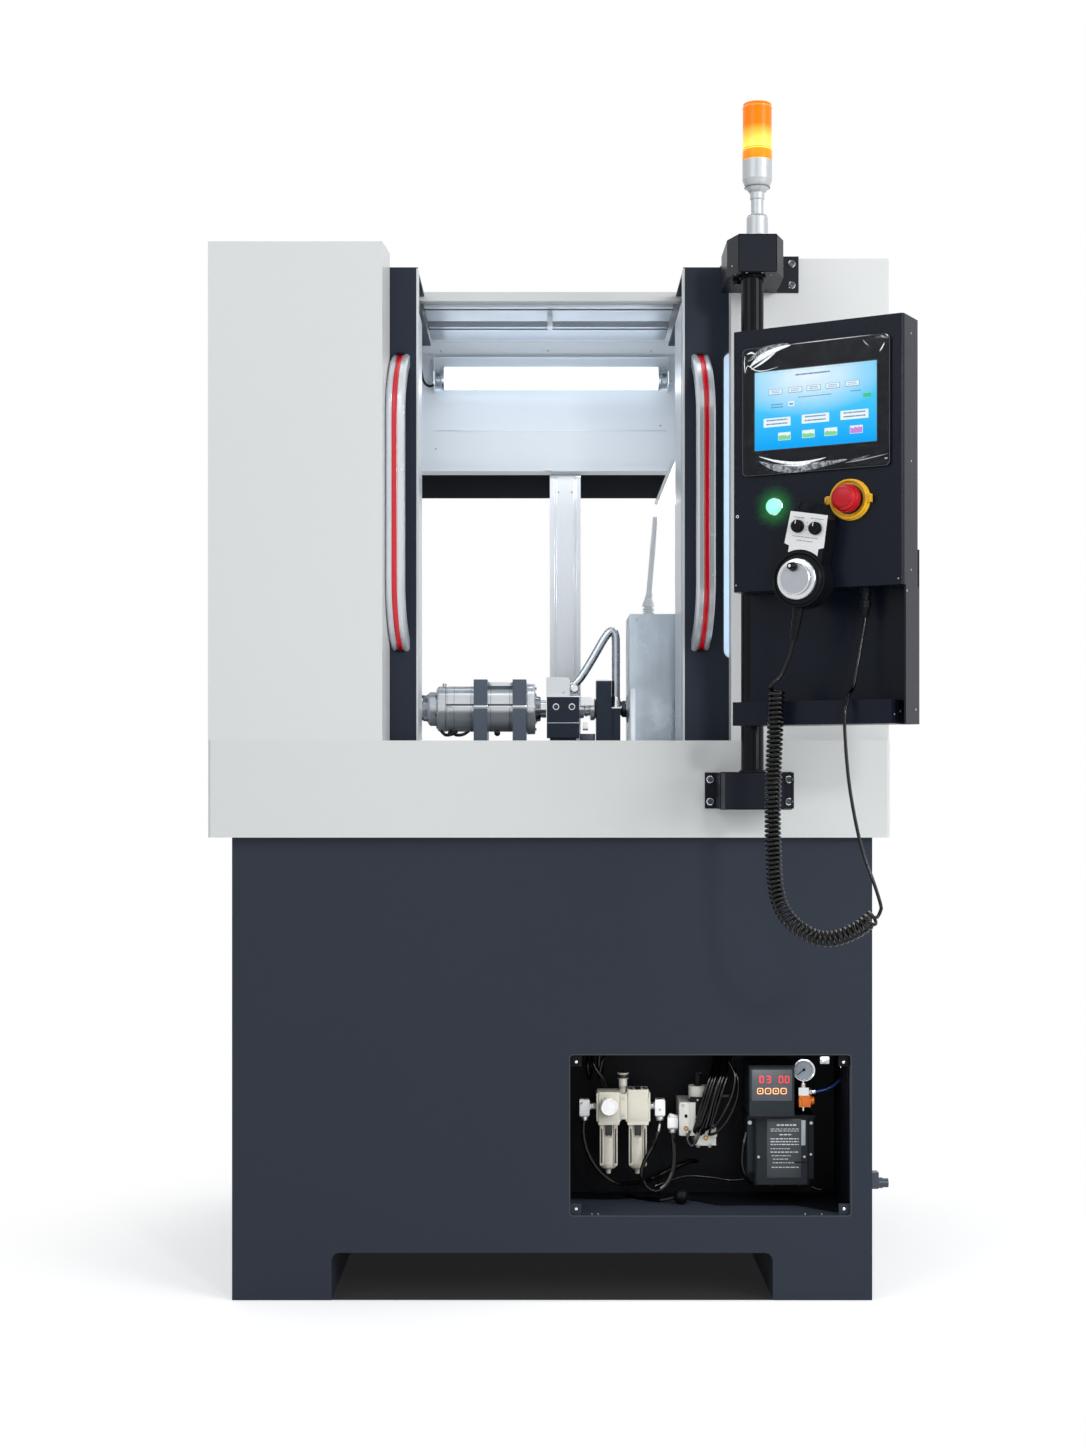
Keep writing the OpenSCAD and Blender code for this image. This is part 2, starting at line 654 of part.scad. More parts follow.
// Pipe and fitting that stand on the cover
mist_x = 192;
mist_y = axis_y - 12;
mist_top = 1406;
mist_lean = 14;
module mist_pipe() color("#e9edf0") from_front() {
    rod_z(cover_top, cover_top + 8, mist_x, mist_y, 20);
    rod_z(cover_top + 8, cover_top + 20, mist_x, mist_y, 15);
    translate([mist_x, mist_y, cover_top + 20]) cylinder(h = 15, d1 = 22, d2 = 14);
    lean = atan2(mist_lean, mist_top - cover_top - 32);
    translate([mist_x, mist_y, cover_top + 32]) rotate([0, lean, 0])
        cylinder(h = (mist_top - cover_top - 32) / cos(lean), d = 10);
}

// Flood lamp on the right wall
flood_x = 286;
flood_y = 500;
flood_z = 1462;
flood_turn = 22;
pin_d = 8;
module work_lamp_arm() color("#2a2e33") from_front() {
    block([area_half_w - 3, flood_y - 22, flood_z - 18], [area_half_w, flood_y + 22, flood_z + 18]);
    for (s = [-1, 1]) difference() {
        block([flood_x - 7, flood_y + s * 19 - 2, flood_z - 11],
            [area_half_w - 3, flood_y + s * 19 + 2, flood_z + 11]);
        rod_y(flood_y - 40, flood_y + 40, flood_x, flood_z, pin_d + 2 * shaft_gap);
    }
}

module work_lamp_head() color("#f2f4f6") from_front() translate([flood_x, flood_y, flood_z]) {
    rod_y(-24, 24, 0, 0, pin_d);
    block([-14, -16, -9], [6, 16, 9]);
    rotate([0, flood_turn, 0]) translate([-14, 0, 0]) rotate([0, -90, 0]) difference() {
        hull() {
            translate([0, 0, 0.5]) cube([10, 24, 3], center = true);
            translate([0, 0, 46]) cube([80, 76, 8], center = true);
        }
        translate([0, 0, 50]) cube([72, 68, 4], center = true);
    }
}

// ---------------------------------------------------------------- sliding doors
// Each door is drawn with its leading edge at x = 0 and its body towards -x
groove_gap = 2;
door_low = ledge_z + 3;
window_rise = 436;               // from the door's foot to the middle of its window
window_z = door_low + window_rise;
handle_x = -30;
handle_z = 1390;
handle_turn = 6;                 // the bow leans away from the door's leading edge
pane_rim = 8;
arm_w = 44;
top_t = 3;

module door_panel() difference() {
    union() {
        block([-door_w, door_y, door_low], [0, door_y + door_t, door_top]);
        // The door's top, which reaches back to the roof, and the arm under the roof's channels
        block([-door_w, door_y + door_t - 1, door_top - top_t], [-skin_gap, roof_start - 2, door_top]);
        block([-arm_w - stop_w, door_y + door_t - 1, arm_z],
            [-stop_w / 2 - skin_gap, arm_back, arm_z + arm_t]);
        block([-arm_w - stop_w, door_y + door_t - 1, arm_z - arm_rib],
            [-arm_w - stop_w + arm_t, arm_back, arm_z + arm_t]);
    }
    front_plate(-window_from_edge - window_w / 2, window_z, window_w, window_h, window_corner,
        door_y - 1, door_y + door_t + 1);
    front_plate(-window_from_edge - window_w / 2, window_z, window_w + 2 * pane_rim, window_h + 2 * pane_rim,
        window_corner + pane_rim, door_y + 18, door_y + 18 + pane_t);
    block([-door_w - 1, door_y + (door_t - rail_bar_w) / 2 - groove_gap, door_low - 1],
        [1, door_y + (door_t + rail_bar_w) / 2 + groove_gap, ledge_z + rail_bar_h + skin_gap]);
}

module door_pane() front_plate(-window_from_edge - window_w / 2, window_z, window_w + 2 * pane_rim,
    window_h + 2 * pane_rim, window_corner + pane_rim, door_y + 18, door_y + 18 + pane_t);

// A bowed extrusion with a coloured strip let into its face, cut flush by the door
bow_end = handle_h * 0.225;      // height of each bent end
bow_r = (bow_end * bow_end + handle_bow * handle_bow) / (2 * handle_bow);
bow_angle = asin(bow_end / bow_r) + 3;
bow_straight = handle_h - 2 * bow_end;

module handle_section() {
    translate([bow_r - handle_t, -handle_w / 2]) difference() {
        square([handle_t, handle_w]);
        translate([handle_t - 2.5, (handle_w - strip_w) / 2]) square([3, strip_w]);
        translate([-1, 5]) square([4, handle_w - 10]);
        for (z = [0, handle_w]) translate([handle_t, z]) rotate(45) square(5, center = true);
    }
    translate([bow_r - 2.5, -strip_w / 2]) square([3.5, strip_w]);
}

module door_handle() intersection() {
    translate([handle_x, door_y, handle_z]) rotate([0, 0, -handle_turn])
        translate([0, bow_r - handle_bow, 0]) {
        translate([0, 0, -bow_straight / 2]) linear_extrude(bow_straight) rotate(-90) handle_section();
        translate([0, 0, bow_straight / 2]) rotate([0, 90, 0]) rotate([0, 0, -90 - bow_angle])
            rotate_extrude(angle = bow_angle, $fn = 96) handle_section();
        translate([0, 0, -bow_straight / 2]) rotate([0, 90, 0]) rotate([0, 0, -90])
            rotate_extrude(angle = bow_angle, $fn = 96) handle_section();
    }
    block([handle_x - 60, 0, handle_z - handle_h], [handle_x + 60, door_y, handle_z + handle_h]);
}

module at_left_door() from_front() translate([door_meet_x - door_travel, 0, 0]) children();
module at_right_door() from_front() translate([door_meet_x + door_travel, 0, 0]) mirror([1, 0, 0]) children();

module left_door() color("#363d47") at_left_door() door_panel();
module right_door() color("#363d47") at_right_door() door_panel();
module left_window() color([0.75, 0.85, 0.9, 0.4]) at_left_door() door_pane();
module right_window() color([0.75, 0.85, 0.9, 0.4]) at_right_door() door_pane();
module left_handle() color("#b9bdc2") at_left_door() door_handle();
module right_handle() color("#b9bdc2") at_right_door() door_handle();

// ---------------------------------------------------------------- pole, brackets and beacon
pole_x = 342;
pole_y = -77;
foot_low = 852;
foot_h = 62;
head_low = 1748;
head_h = 63;
bracket_t = 3;
bracket_reach = 112;
screw_d = 10;
screw_h = 6;

module hat(low, h, hole_low, hole_high, outline, inner) difference() {
    translate([0, 0, low]) linear_extrude(h) polygon(outline);
    translate([0, 0, low + bracket_t]) linear_extrude(h - 2 * bracket_t) polygon(inner);
    rod_z(hole_low, hole_high, pole_x, pole_y, pole_d);
}

foot_x = [268, 285, 399, 421];
head_bx = [300, 395, 434];
module pole_brackets() color("#23272c") from_front() {
    t = bracket_t;
    hat(foot_low, foot_h, foot_low + t, foot_low + foot_h + 1,
        [[foot_x[1], 0], [foot_x[1] + 8, -bracket_reach], [foot_x[2] - 8, -bracket_reach], [foot_x[2], 0]],
        [[foot_x[1] + t, 1], [foot_x[1] + 8 + t, t - bracket_reach], [foot_x[2] - 8 - t, t - bracket_reach],
            [foot_x[2] - t, 1]]);
    block([foot_x[0], -t, foot_low], [foot_x[1] + t, 0, foot_low + foot_h]);
    block([foot_x[2] - t, -t, foot_low], [foot_x[3], 0, foot_low + foot_h]);
    y = right_cover_inset;
    hat(head_low, head_h, head_low - 1, head_low + head_h - t,
        [[head_bx[0], y], [head_bx[0], -70], [head_bx[0] + 16, -bracket_reach],
            [head_bx[1] - 16, -bracket_reach], [head_bx[1], -70], [head_bx[1], y]],
        [[head_bx[0] + t, y + 1], [head_bx[0] + t, -69], [head_bx[0] + 18, t - bracket_reach],
            [head_bx[1] - 18, t - bracket_reach], [head_bx[1] - t, -69], [head_bx[1] - t, y + 1]]);
    block([head_bx[1] - t, y - t, head_low], [head_bx[2], y, head_low + head_h]);
}

module socket_screw() difference() {
    rod_y(-screw_h, 0, 0, 0, screw_d);
    translate([0, -screw_h + 3, 0]) rotate([90, 0, 0]) cylinder(h = 4, d = 5.8, $fn = 6);
}

module bracket_screws() color("#141518") from_front() {
    for (x = [foot_x[0] + 9, foot_x[3] - 9], z = [foot_low + 12, foot_low + foot_h - 12])
        translate([x, -bracket_t, z]) socket_screw();
    for (z = [head_low + 13, head_low + head_h - 13])
        translate([head_bx[2] - 12, right_cover_inset - bracket_t, z]) socket_screw();
}

module pole() color("#17191c") from_front() {
    rod_z(foot_low + bracket_t, head_low + head_h - bracket_t, pole_x, pole_y, pole_d);
    for (z = [1262, 1512]) rod_z(z - 9, z, pole_x, pole_y, pole_d + 12);
}

beacon_x = 352;
beacon_y = -60;
beacon_z = head_low + head_h;
cone_top = 136;
module beacon_stand() color("#c9cdd0") from_front() translate([beacon_x, beacon_y, beacon_z]) rotate_extrude()
    polygon([
        [0, 0], [35, 0], [35, 4], [32, 7], [20, 8], [18, 11], [18, 40], [15, 44], [10.5, 46], [10.5, 70],
        [12, 72], [12, 82], [16, 86], [22, 96], [lens_d / 2, 104], [lens_d / 2, cone_top], [0, cone_top]
    ]);

module beacon_lens() color([1, 0.55, 0.05, 0.8])
    from_front() translate([beacon_x, beacon_y, beacon_z + cone_top])
    rotate_extrude() polygon([
        [0, 0], [lens_d / 2 - 0.5, 0], [lens_d / 2 - 0.5, lens_h - 6], [lens_d / 2 - 2, lens_h - 3],
        [lens_d / 2 - 5, lens_h - 0.5], [0, lens_h]
    ]);

// ---------------------------------------------------------------- control panel
// The panel's own frame: x along its face, y into it, z up
panel_x = 297;
panel_y = -208;
arm_x = -26.5;       // the pole's axis in the panel's frame
arm_y = 136;
sleeve_d = 62;
sleeve_h = 40;
sleeve_z = [1262.3, 1512.3];
box_corner = 6;
bezel_w = 250;
bezel_h = 205;
bezel_x = 145;
bezel_z = box_z + 287.5;
bezel_t = 6;
glass_w = 207.5;
glass_h = 126;
start_x = 73.6;
start_z = box_z + 134;
stop_x = 204;
stop_z = box_z + 136;
button_press = 4;
stem_d = 20;
back_t = 3;
tray_low = 989;
tray_lip = 38;
tray_w = 271;

module at_panel() from_front() translate([panel_x, panel_y, 0]) rotate([0, 0, -panel_turn]) children();

module control_box() color("#202329") at_panel() difference() {
    union() {
        translate([box_w / 2, box_d / 2, box_z]) linear_extrude(box_h) round_rect(box_w, box_d, box_corner);
        rod_z(box_z - 12, box_z, 214.5, 35, 18);
        rod_z(box_z - 20, box_z - 12, 214.5, 35, 13);
    }
    rod_y(-1, 30, start_x, start_z, button_d + 2 * skin_gap);
    rod_y(-1, 34, stop_x, stop_z, stem_d + 2 * shaft_gap);
    front_plate(bezel_x, bezel_z, bezel_w - 16, bezel_h - 16, 5, -1, 1);
}

// Folded back plate with a tray along its foot, and the two arms that turn on the pole
module panel_back() color("#1b1e23") at_panel() {
    y1 = box_d;
    block([0, y1, tray_low], [box_w, y1 + back_t, box_z + 60]);
    block([box_w - back_t, 12, tray_low], [box_w, y1 + 1, box_z]);
    difference() {
        block([0, 0, tray_low], [tray_w, y1, tray_low + tray_lip]);
        block([back_t, back_t, tray_low + back_t], [tray_w - back_t, y1 + 1, tray_low + tray_lip + 1]);
    }
    for (z = sleeve_z) difference() {
        union() {
            rod_z(z, z + sleeve_h, arm_x, arm_y, sleeve_d);
            block([arm_x, arm_y - 20, z], [90, arm_y + 20, z + sleeve_h]);
            block([30, y1, z], [90, arm_y, z + sleeve_h]);
        }
        rod_z(z - 1, z + sleeve_h + 1, arm_x, arm_y, pole_d + 2 * shaft_gap);
        block([60 - 20, y1 + 12, z + 6], [91, arm_y + 12, z + sleeve_h - 6]);
    }
}

module screen_unit() color("#101317") at_panel() difference() {
    union() {
        front_plate(bezel_x, bezel_z, bezel_w, bezel_h, 8, -bezel_t, 0);
        front_plate(bezel_x, bezel_z, bezel_w - 16, bezel_h - 16, 5, -1, 1);
    }
    front_plate(bezel_x, bezel_z, glass_w, glass_h, 1, -bezel_t - 1, -bezel_t + 1);
}

module start_button() color("#3fd26a") at_panel() translate([start_x, 0, start_z]) rotate([90, 0, 0]) {
    translate([0, 0, -18]) cylinder(h = 18 + button_press + 3, d = button_d);
    translate([0, 0, button_press + 3]) cylinder(h = 2, d1 = button_d, d2 = button_d - 4);
}

module stop_ring() color("#e9b10c") at_panel() difference() {
    rod_y(-8, 0, stop_x, stop_z, 63);
    translate([stop_x, -7, stop_z]) rotate([90, 0, 0]) cylinder(h = 3, d1 = 45, d2 = 52);
    rod_y(-9, 1, stop_x, stop_z, stem_d + 6);
}

module stop_button() color("#d3202a")
    at_panel() translate([stop_x, 0, stop_z]) rotate([90, 0, 0]) rotate_extrude()
    polygon([
        [0, -26], [stem_d / 2, -26], [stem_d / 2, 16], [stop_d / 2 - 6, 16], [stop_d / 2 - 1, 19],
        [stop_d / 2, 23], [stop_d / 2, 30], [stop_d / 2 - 1.5, 34], [stop_d / 2 - 5, 37], [0, 39]
    ]);

// ---------------------------------------------------------------- hand wheel pendant
pendant_x = 133;
pendant_z = 1216;
pendant_roll = 10;
pendant_front = -42;
pendant_d = 88;
pad_t = 4;
upper_w = 66;
upper_h = 106;
knob_d = 19;
knob_x = [-15, 15];
knob_z = 82;
knob_stem = 6;
dial_t = 14;
crank_x = -5;
crank_z = 18;
crank_pin = 5;
relief_l = 55;
loop_x = -4;
loop_w = 48;
loop_h = 30;
loop_rise = 4;                   // middle of the loop above the pendant's top
loop_wire = 3;

module at_pendant() at_panel() translate([pendant_x, 0, pendant_z]) rotate([0, pendant_roll, 0]) children();

module pendant_outline() {
    circle(d = pendant_d);
    translate([0, upper_h / 2]) round_rect(upper_w, upper_h, 8);
}

module pendant_body() color("#1c1e21") at_pendant() difference() {
    union() {
        translate([0, -pad_t, 0]) rotate([90, 0, 0]) linear_extrude(-pendant_front - pad_t) pendant_outline();
        front_plate(0, 62, 40, 40, 4, -pad_t, 0);
        // Wire loop on top
        translate([loop_x, -24, upper_h + loop_rise]) rotate([90, 0, 0])
            linear_extrude(loop_wire) difference() {
                round_rect(loop_w, loop_h, 10);
                round_rect(loop_w - 2 * loop_wire, loop_h - 2 * loop_wire, 7);
            }
        translate([0, pendant_front, 0]) rotate([90, 0, 0])
            cylinder(h = 4, d1 = pendant_d - 4, d2 = dial_d + 6);
        // Strain relief
        translate([0, -24, -pendant_d / 2 + 3]) rotate([180, 0, 0]) cylinder(h = relief_l, d1 = 18, d2 = 11);
    }
    rod_y(pendant_front - 5, pendant_front + 16, 0, 0, 12 + 2 * shaft_gap);
    for (x = knob_x) rod_y(pendant_front - 1, pendant_front + 12, x, knob_z, knob_stem + 2 * shaft_gap);
}

module hand_dial() color("#cfd3d6") at_pendant() difference() {
    union() {
        rod_y(pendant_front - 4 - skin_gap - 6, pendant_front - 4 - skin_gap, 0, 0, dial_d);
        rod_y(pendant_front - 4 - dial_t, pendant_front - 10, 0, 0, dial_d - 13);
        rod_y(pendant_front - 6, pendant_front + 14, 0, 0, 12);
    }
    dial_face = pendant_front - 4 - dial_t;
    rod_y(dial_face - 1, dial_face + 8, crank_x, crank_z, crank_pin + 2 * shaft_gap);
}

module dial_crank() color("#1a1b1d") at_pendant() translate([crank_x, pendant_front - 4 - dial_t, crank_z])
    rotate([90, 0, 0]) rotate_extrude() polygon([
        [0, -7.5], [crank_pin / 2, -7.5], [crank_pin / 2, skin_gap], [5.5, skin_gap], [6.5, 4], [5.5, 12],
        [4, 14], [0, 14]
    ]);

module selector(x) at_pendant() translate([x, pendant_front, knob_z]) rotate([90, 0, 0]) {
    translate([0, 0, -11]) cylinder(h = 12, d = knob_stem);
    translate([0, 0, skin_gap]) cylinder(h = 5, d1 = knob_d + 2, d2 = knob_d);
    translate([0, 0, 5]) cylinder(h = 8, d1 = knob_d - 2, d2 = knob_d - 4);
    translate([-1.5, 2, 12]) cube([3, knob_d / 2 - 3, 2.5]);
}

module axis_knob() color("#131416") selector(knob_x[0]);
module rate_knob() color("#131416") selector(knob_x[1]);

// The pendant's cord: a plain lead, a curly stretch and a plain tail to the box's gland
cord_d = 5.5;
coil_d = 27;
lead_points = [[116.3, -24, 1121.6], [111, -24, 1100], [102, -25, 1078], [93, -25, 1060], [88.6, -25, 1046]];
coil_points = [
    [88.6, -25, 1046], [85, -25, 967], [82, -25, 886], [82, -25, 805], [88, -25, 724], [108, -25, 682],
    [148, -25, 656], [184, -25, 653], [226, -25, 670], [258, -25, 696]
];
tail_points = [
    [258, -25, 696], [263, -25, 700], [262, -25, 710], [252, -25, 740], [230, -25, 800], [212, -25, 886],
    [204, -25, 966], [203, -22, 1010], [204, -10, 1034], [205, 6, 1046], [206, 16, 1070], [211, 27, 1120],
    [214.5, 35, 1160], [214.5, 35, box_z - 20]
];
module cord_lead() color("#101113") at_panel() swept_tube(lead_points, 2, cord_d);
module cord_coil() color("#101113") at_panel() swept_tube(coil_points, 2, coil_d, 10);
module cord_tail() color("#101113") at_panel() swept_tube(tail_points, 2, cord_d);

// ---------------------------------------------------------------- service bay
bay_home = 36;               // the bay's left side as the places of its fittings count it
bay_y = 150;                 // the filters' middle plane
filter_x = [107, 159];
filter_w = 40;
filter_z = [291, 345];
filter_dep = 46;
bowl_len = 85;
knob_plate_z = 320;
regulator_y = bay_y - filter_dep / 2;

// A guarded bowl: a slotted metal guard round the bowl, with a drain below
module bowl(x) translate([x, bay_y, filter_z[0] - bowl_len]) {
    difference() {
        rotate_extrude() polygon([
            [0, 0], [bowl_d / 2 - 5, 0], [bowl_d / 2 - 1.5, 3], [bowl_d / 2, 9],
            [bowl_d / 2, bowl_len], [0, bowl_len]
        ]);
        for (a = [60, 120, 240, 300]) rotate([0, 0, a]) translate([0, bowl_d / 2 - 2, bowl_len / 2 + 8])
            cube([5, 6, bowl_len - 30], center = true);
        translate([-6, -bowl_d / 2 - 1, bowl_len - 28]) cube([12, 4, 22]);
    }
    translate([0, 0, -5]) cylinder(h = 6, d = 6);
}

// Push-in elbow: a block with a short threaded neck
module elbow(x0, x1, z0, z1, neck_x0, neck_x1) {
    block([x0, bay_y - 9, z0], [x1, bay_y + 9, z1]);
    rod_z(z0 - 6, z0, (x0 + x1) / 2, bay_y, 14);
    rod_x(neck_x0, neck_x1, bay_y, (z0 + z1) / 2 + 2, 12);
}

elbow_x = [64, 199];
module in_bay() from_front() translate([bay_x0 - bay_home, 0, 0]) children();

module filter_unit() color("#cfccc0") in_bay() {
    for (x = filter_x) {
        translate([x, bay_y, filter_z[0]]) linear_extrude(filter_z[1] - filter_z[0] - (x > 140 ? 12 : 0))
            round_rect(filter_w, filter_dep, 4);
        bowl(x);
    }
    translate([filter_x[1], bay_y, filter_z[1] - 12]) linear_extrude(16)
        round_rect(filter_w - 2, filter_dep - 2, 4);
    // Joining piece, its bracket to the bay's wall and the plugged tee above it
    block([filter_x[0] + filter_w / 2, bay_y - 20, 296], [filter_x[1] - filter_w / 2, bay_y + 20, 338]);
    block([filter_x[0] + filter_w / 2 - 10, bay_y + 18, 302],
        [filter_x[1] - filter_w / 2 + 10, bay_back, 332]);
    rod_z(338, 360, 133, bay_y, 12);
    rod_z(352, 366, 133, bay_y, 15);
    rod_z(366, 377, 133, bay_y, 20);
    elbow(elbow_x[0] - 8, elbow_x[0] + 8, 300, 330, elbow_x[0] + 8, filter_x[0] - filter_w / 2);
    elbow(elbow_x[1] - 8, elbow_x[1] + 8, 300, 330, filter_x[1] + filter_w / 2, elbow_x[1] - 8);
    // Boss for the regulator's knob
    rod_y(regulator_y - 4, regulator_y, filter_x[0], knob_plate_z, 34);
}

module regulator_knob() color("#eceeee")
    in_bay() translate([filter_x[0], regulator_y - 4 - skin_gap, knob_plate_z])
    rotate([90, 0, 0]) rotate_extrude() polygon([
        [0, 0], [14.5, 0], [15.5, 1], [15.5, 9], [14.5, 11], [13, 12], [0, 12.5]
    ]);

manifold_x = [233, 262, 300];
manifold_z = [248, 325];
valve_d = 34;
module valve_manifold() color("#c9c9c4") in_bay() {
    block([manifold_x[0], bay_y - 14, manifold_z[0] + 18], [manifold_x[1], bay_back, manifold_z[1]]);
    translate([manifold_x[1] - 1, 0, 0]) difference() {
        block([0, bay_y - 10, manifold_z[0]], [manifold_x[2] - manifold_x[1], bay_back, manifold_z[0] + 44]);
        translate([manifold_x[2] - manifold_x[1], 0, manifold_z[0] + 44]) rotate([0, 45, 0])
            cube([18, 400, 18], center = true);
    }
    // Solenoid coil on top, and the elbow on its left
    translate([manifold_x[1] + 6, bay_y + 12, manifold_z[0] + 44]) cylinder(h = 60, d = valve_d);
    rod_z(manifold_z[0] + 104, manifold_z[0] + 126, manifold_x[1] + 6, bay_y + 12, 12);
    block([213, bay_y - 9, 278], [231, bay_y + 9, 298]);
    rod_z(270, 278, 222, bay_y, 14);
    rod_x(231, manifold_x[0], bay_y, 290, 12);
    rod_z(manifold_z[0] - 5, manifold_z[0], manifold_x[1] + 6, bay_y, 6);
    rod_z(manifold_z[0] - 5, manifold_z[0], manifold_x[2] - 12, bay_y, 6);
}

lube_x = [366, 472];
lube_z = [182, 303];
lube_y = 118;
display_x = [355, 434];
display_z = [303, 395];
display_mid = (display_x[0] + display_x[1]) / 2;
display_y = 100;
module lubricator() color("#23272b") in_bay() {
    difference() {
        union() {
            block([lube_x[0], lube_y, lube_z[0]], [lube_x[1] - 10, bay_back, lube_z[1]]);
            block([lube_x[1] - 10, lube_y + 12, lube_z[0] + 8], [lube_x[1], bay_back - 10, lube_z[1] - 4]);
            block([lube_x[0] - 12, lube_y + 10, lube_z[0] + 20], [lube_x[0], bay_back, lube_z[1]]);
            block([lube_x[0] - 12, lube_y + 30, lube_z[0]], [lube_x[0], bay_back, lube_z[0] + 20]);
        }
        // Sight window over the oil level
        block([lube_x[1] - 34, lube_y - 1, lube_z[1] - 52], [lube_x[1] - 15, lube_y + 3, lube_z[1] - 6]);
        front_plate(lube_x[0] + 52, (lube_z[0] + lube_z[1]) / 2 + 4, 62, 106, 3, lube_y - 1, lube_y + 1);
    }
    difference() {
        block([display_x[0], display_y, display_z[0]], [display_x[1], bay_back, display_z[1]]);
        front_plate(display_mid, display_z[1] - 34, 72, 56, 2, display_y - 1, display_y + 1.5);
    }
    for (i = [0:3])
        front_plate(display_mid + (i - 1.5) * 14, display_z[1] - 44, 9, 9, 2, display_y, display_y + 2);
}

gauge_x = 454;
gauge_z = 385;
gauge_y = 120;
needle_pin = 3;
module pressure_gauge() color("#b9bcbd") in_bay() {
    translate([gauge_x, gauge_y, gauge_z]) rotate([-90, 0, 0]) difference() {
        rotate_extrude() polygon([
            [0, 6], [gauge_d / 2 - 2.5, 6], [gauge_d / 2 - 2.5, 0], [gauge_d / 2, 0], [gauge_d / 2, 4],
            [gauge_d / 2 - 1.5, 5], [gauge_d / 2 - 1.5, 24], [gauge_d / 2 - 5, 28], [0, 28]
        ]);
        translate([0, 0, 5]) cylinder(h = 6, d = needle_pin + 2 * shaft_gap);
    }
    rod_z(gauge_z - 34, gauge_z - gauge_d / 2 + 2, gauge_x, gauge_y + 16, 9);
    block([gauge_x - 9, gauge_y + 6, gauge_z - 46], [gauge_x + 9, gauge_y + 26, gauge_z - 32]);
    block([gauge_x - 8, gauge_y + 4, gauge_z - 66], [gauge_x + 11, gauge_y + 26, gauge_z - 46]);
    rod_z(gauge_z - 74, gauge_z - 66, gauge_x, gauge_y + 15, 8);
    rod_x(gauge_x + 9, gauge_x + 19, gauge_y + 16, gauge_z - 40, 10);
    block([gauge_x - 7, gauge_y + 26, gauge_z - 60], [gauge_x + 7, bay_back, gauge_z - 38]);
}

needle_angle = 128;
module gauge_needle() color("#17181a")
    in_bay() translate([gauge_x, gauge_y + 6, gauge_z]) rotate([90, 0, 0]) {
    translate([0, 0, -4]) cylinder(h = 6, d = needle_pin);
    translate([0, 0, skin_gap]) cylinder(h = 2, d = 5);
    rotate([0, 0, needle_angle]) translate([-0.7, -4, skin_gap]) cube([1.4, gauge_d / 2 - 1, 1]);
}

left_hose = [
    [elbow_x[0], bay_y, 294], [elbow_x[0] - 2, bay_y, 272], [68, bay_y - 4, 240], [84, bay_y - 8, 210],
    [106, bay_y - 6, 188], [126, bay_y, 178], [150, bay_y + 20, 174], [186, bay_y + 50, 176],
    [220, bay_back - 14, 190], [256, bay_back - 9, 205], [272, bay_back, 204]
];
right_hose = [
    [elbow_x[1], bay_y, 294], [196, bay_y - 6, 272], [184, bay_y - 22, 246], [170, bay_y - 28, 222],
    [165, bay_y - 28, 200], [172, bay_y - 24, 178], [190, bay_y - 16, 168], [208, bay_y - 10, 176],
    [221, bay_y - 4, 198], [225, bay_y, 230], [222, bay_y, 270]
];
cable_starts = [258, 268, 278, 288];
module air_hoses() color("#0e0f11") in_bay() {
    swept_tube(left_hose, 2, air_hose_d);
    swept_tube(right_hose, 2, air_hose_d);
    for (i = [0:3]) swept_tube([
        [cable_starts[i] + 2, bay_y + 2, 262 + 8 * i], [cable_starts[i] + 8, bay_y - 18, 296 + 6 * i],
        [cable_starts[i] + 22, bay_y - 20 + 4 * i, 344], [cable_starts[i] + 38, bay_y + 10 + 6 * i, 392],
        [cable_starts[i] + 44, bay_y + 20 + 6 * i, bay_z + bay_h]
    ], 2, 6);
    for (x = [70, 90]) swept_tube([
        [x + 8, bay_back, 372], [x + 4, bay_y + 36, 362], [x, bay_y + 22, 384],
        [x + 2, bay_y + 20, bay_z + bay_h]
    ], 2, 7);
    swept_tube([
        [gauge_x + 19, gauge_y + 16, gauge_z - 40], [486, gauge_y + 18, gauge_z - 39],
        [504, gauge_y + 22, gauge_z - 30],
        [bay_home + bay_w, gauge_y + 24, gauge_z - 16]
    ], 2, 6);
    // Spare lead lying on the bay's floor with its round plug
    swept_tube([
        [140, bay_y + 30, bay_z + 4], [170, bay_y + 8, bay_z + 4], [200, bay_y - 14, bay_z + 5],
        [226, bay_y - 22, bay_z + 12]
    ], 2, 7);
    translate([236, bay_y - 24, bay_z + 13]) sphere(d = 26, $fn = 24);
}

// ---------------------------------------------------------------- all pieces
base_cabinet();
air_coupler();
skirt();
left_cover();
right_cover();
roof_panel();
door_rails();
area_liner();
header_panel();
rear_frame();
rear_post();
tube_lamp();
machine_bed();
slide_rails();
steady_block();
steady_fittings();
rest_plate();
coolant_pipe();
work_lamp_arm();
work_lamp_head();
left_door();
left_window();
left_handle();
right_door();
right_window();
right_handle();
spindle_saddle();
spindle_clamps();
spindle_body();
spindle_shaft();
head_stock();
head_cover();
work_spindle();
mist_pipe();
pole_brackets();
bracket_screws();
pole();
beacon_stand();
beacon_lens();
control_box();
panel_back();
screen_unit();
start_button();
stop_ring();
stop_button();
pendant_body();
hand_dial();
dial_crank();
axis_knob();
rate_knob();
cord_lead();
cord_coil();
cord_tail();
filter_unit();
regulator_knob();
valve_manifold();
lubricator();
pressure_gauge();
gauge_needle();
air_hoses();
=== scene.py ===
import math
import random

import bmesh
import bpy
from mathutils import Matrix, Vector


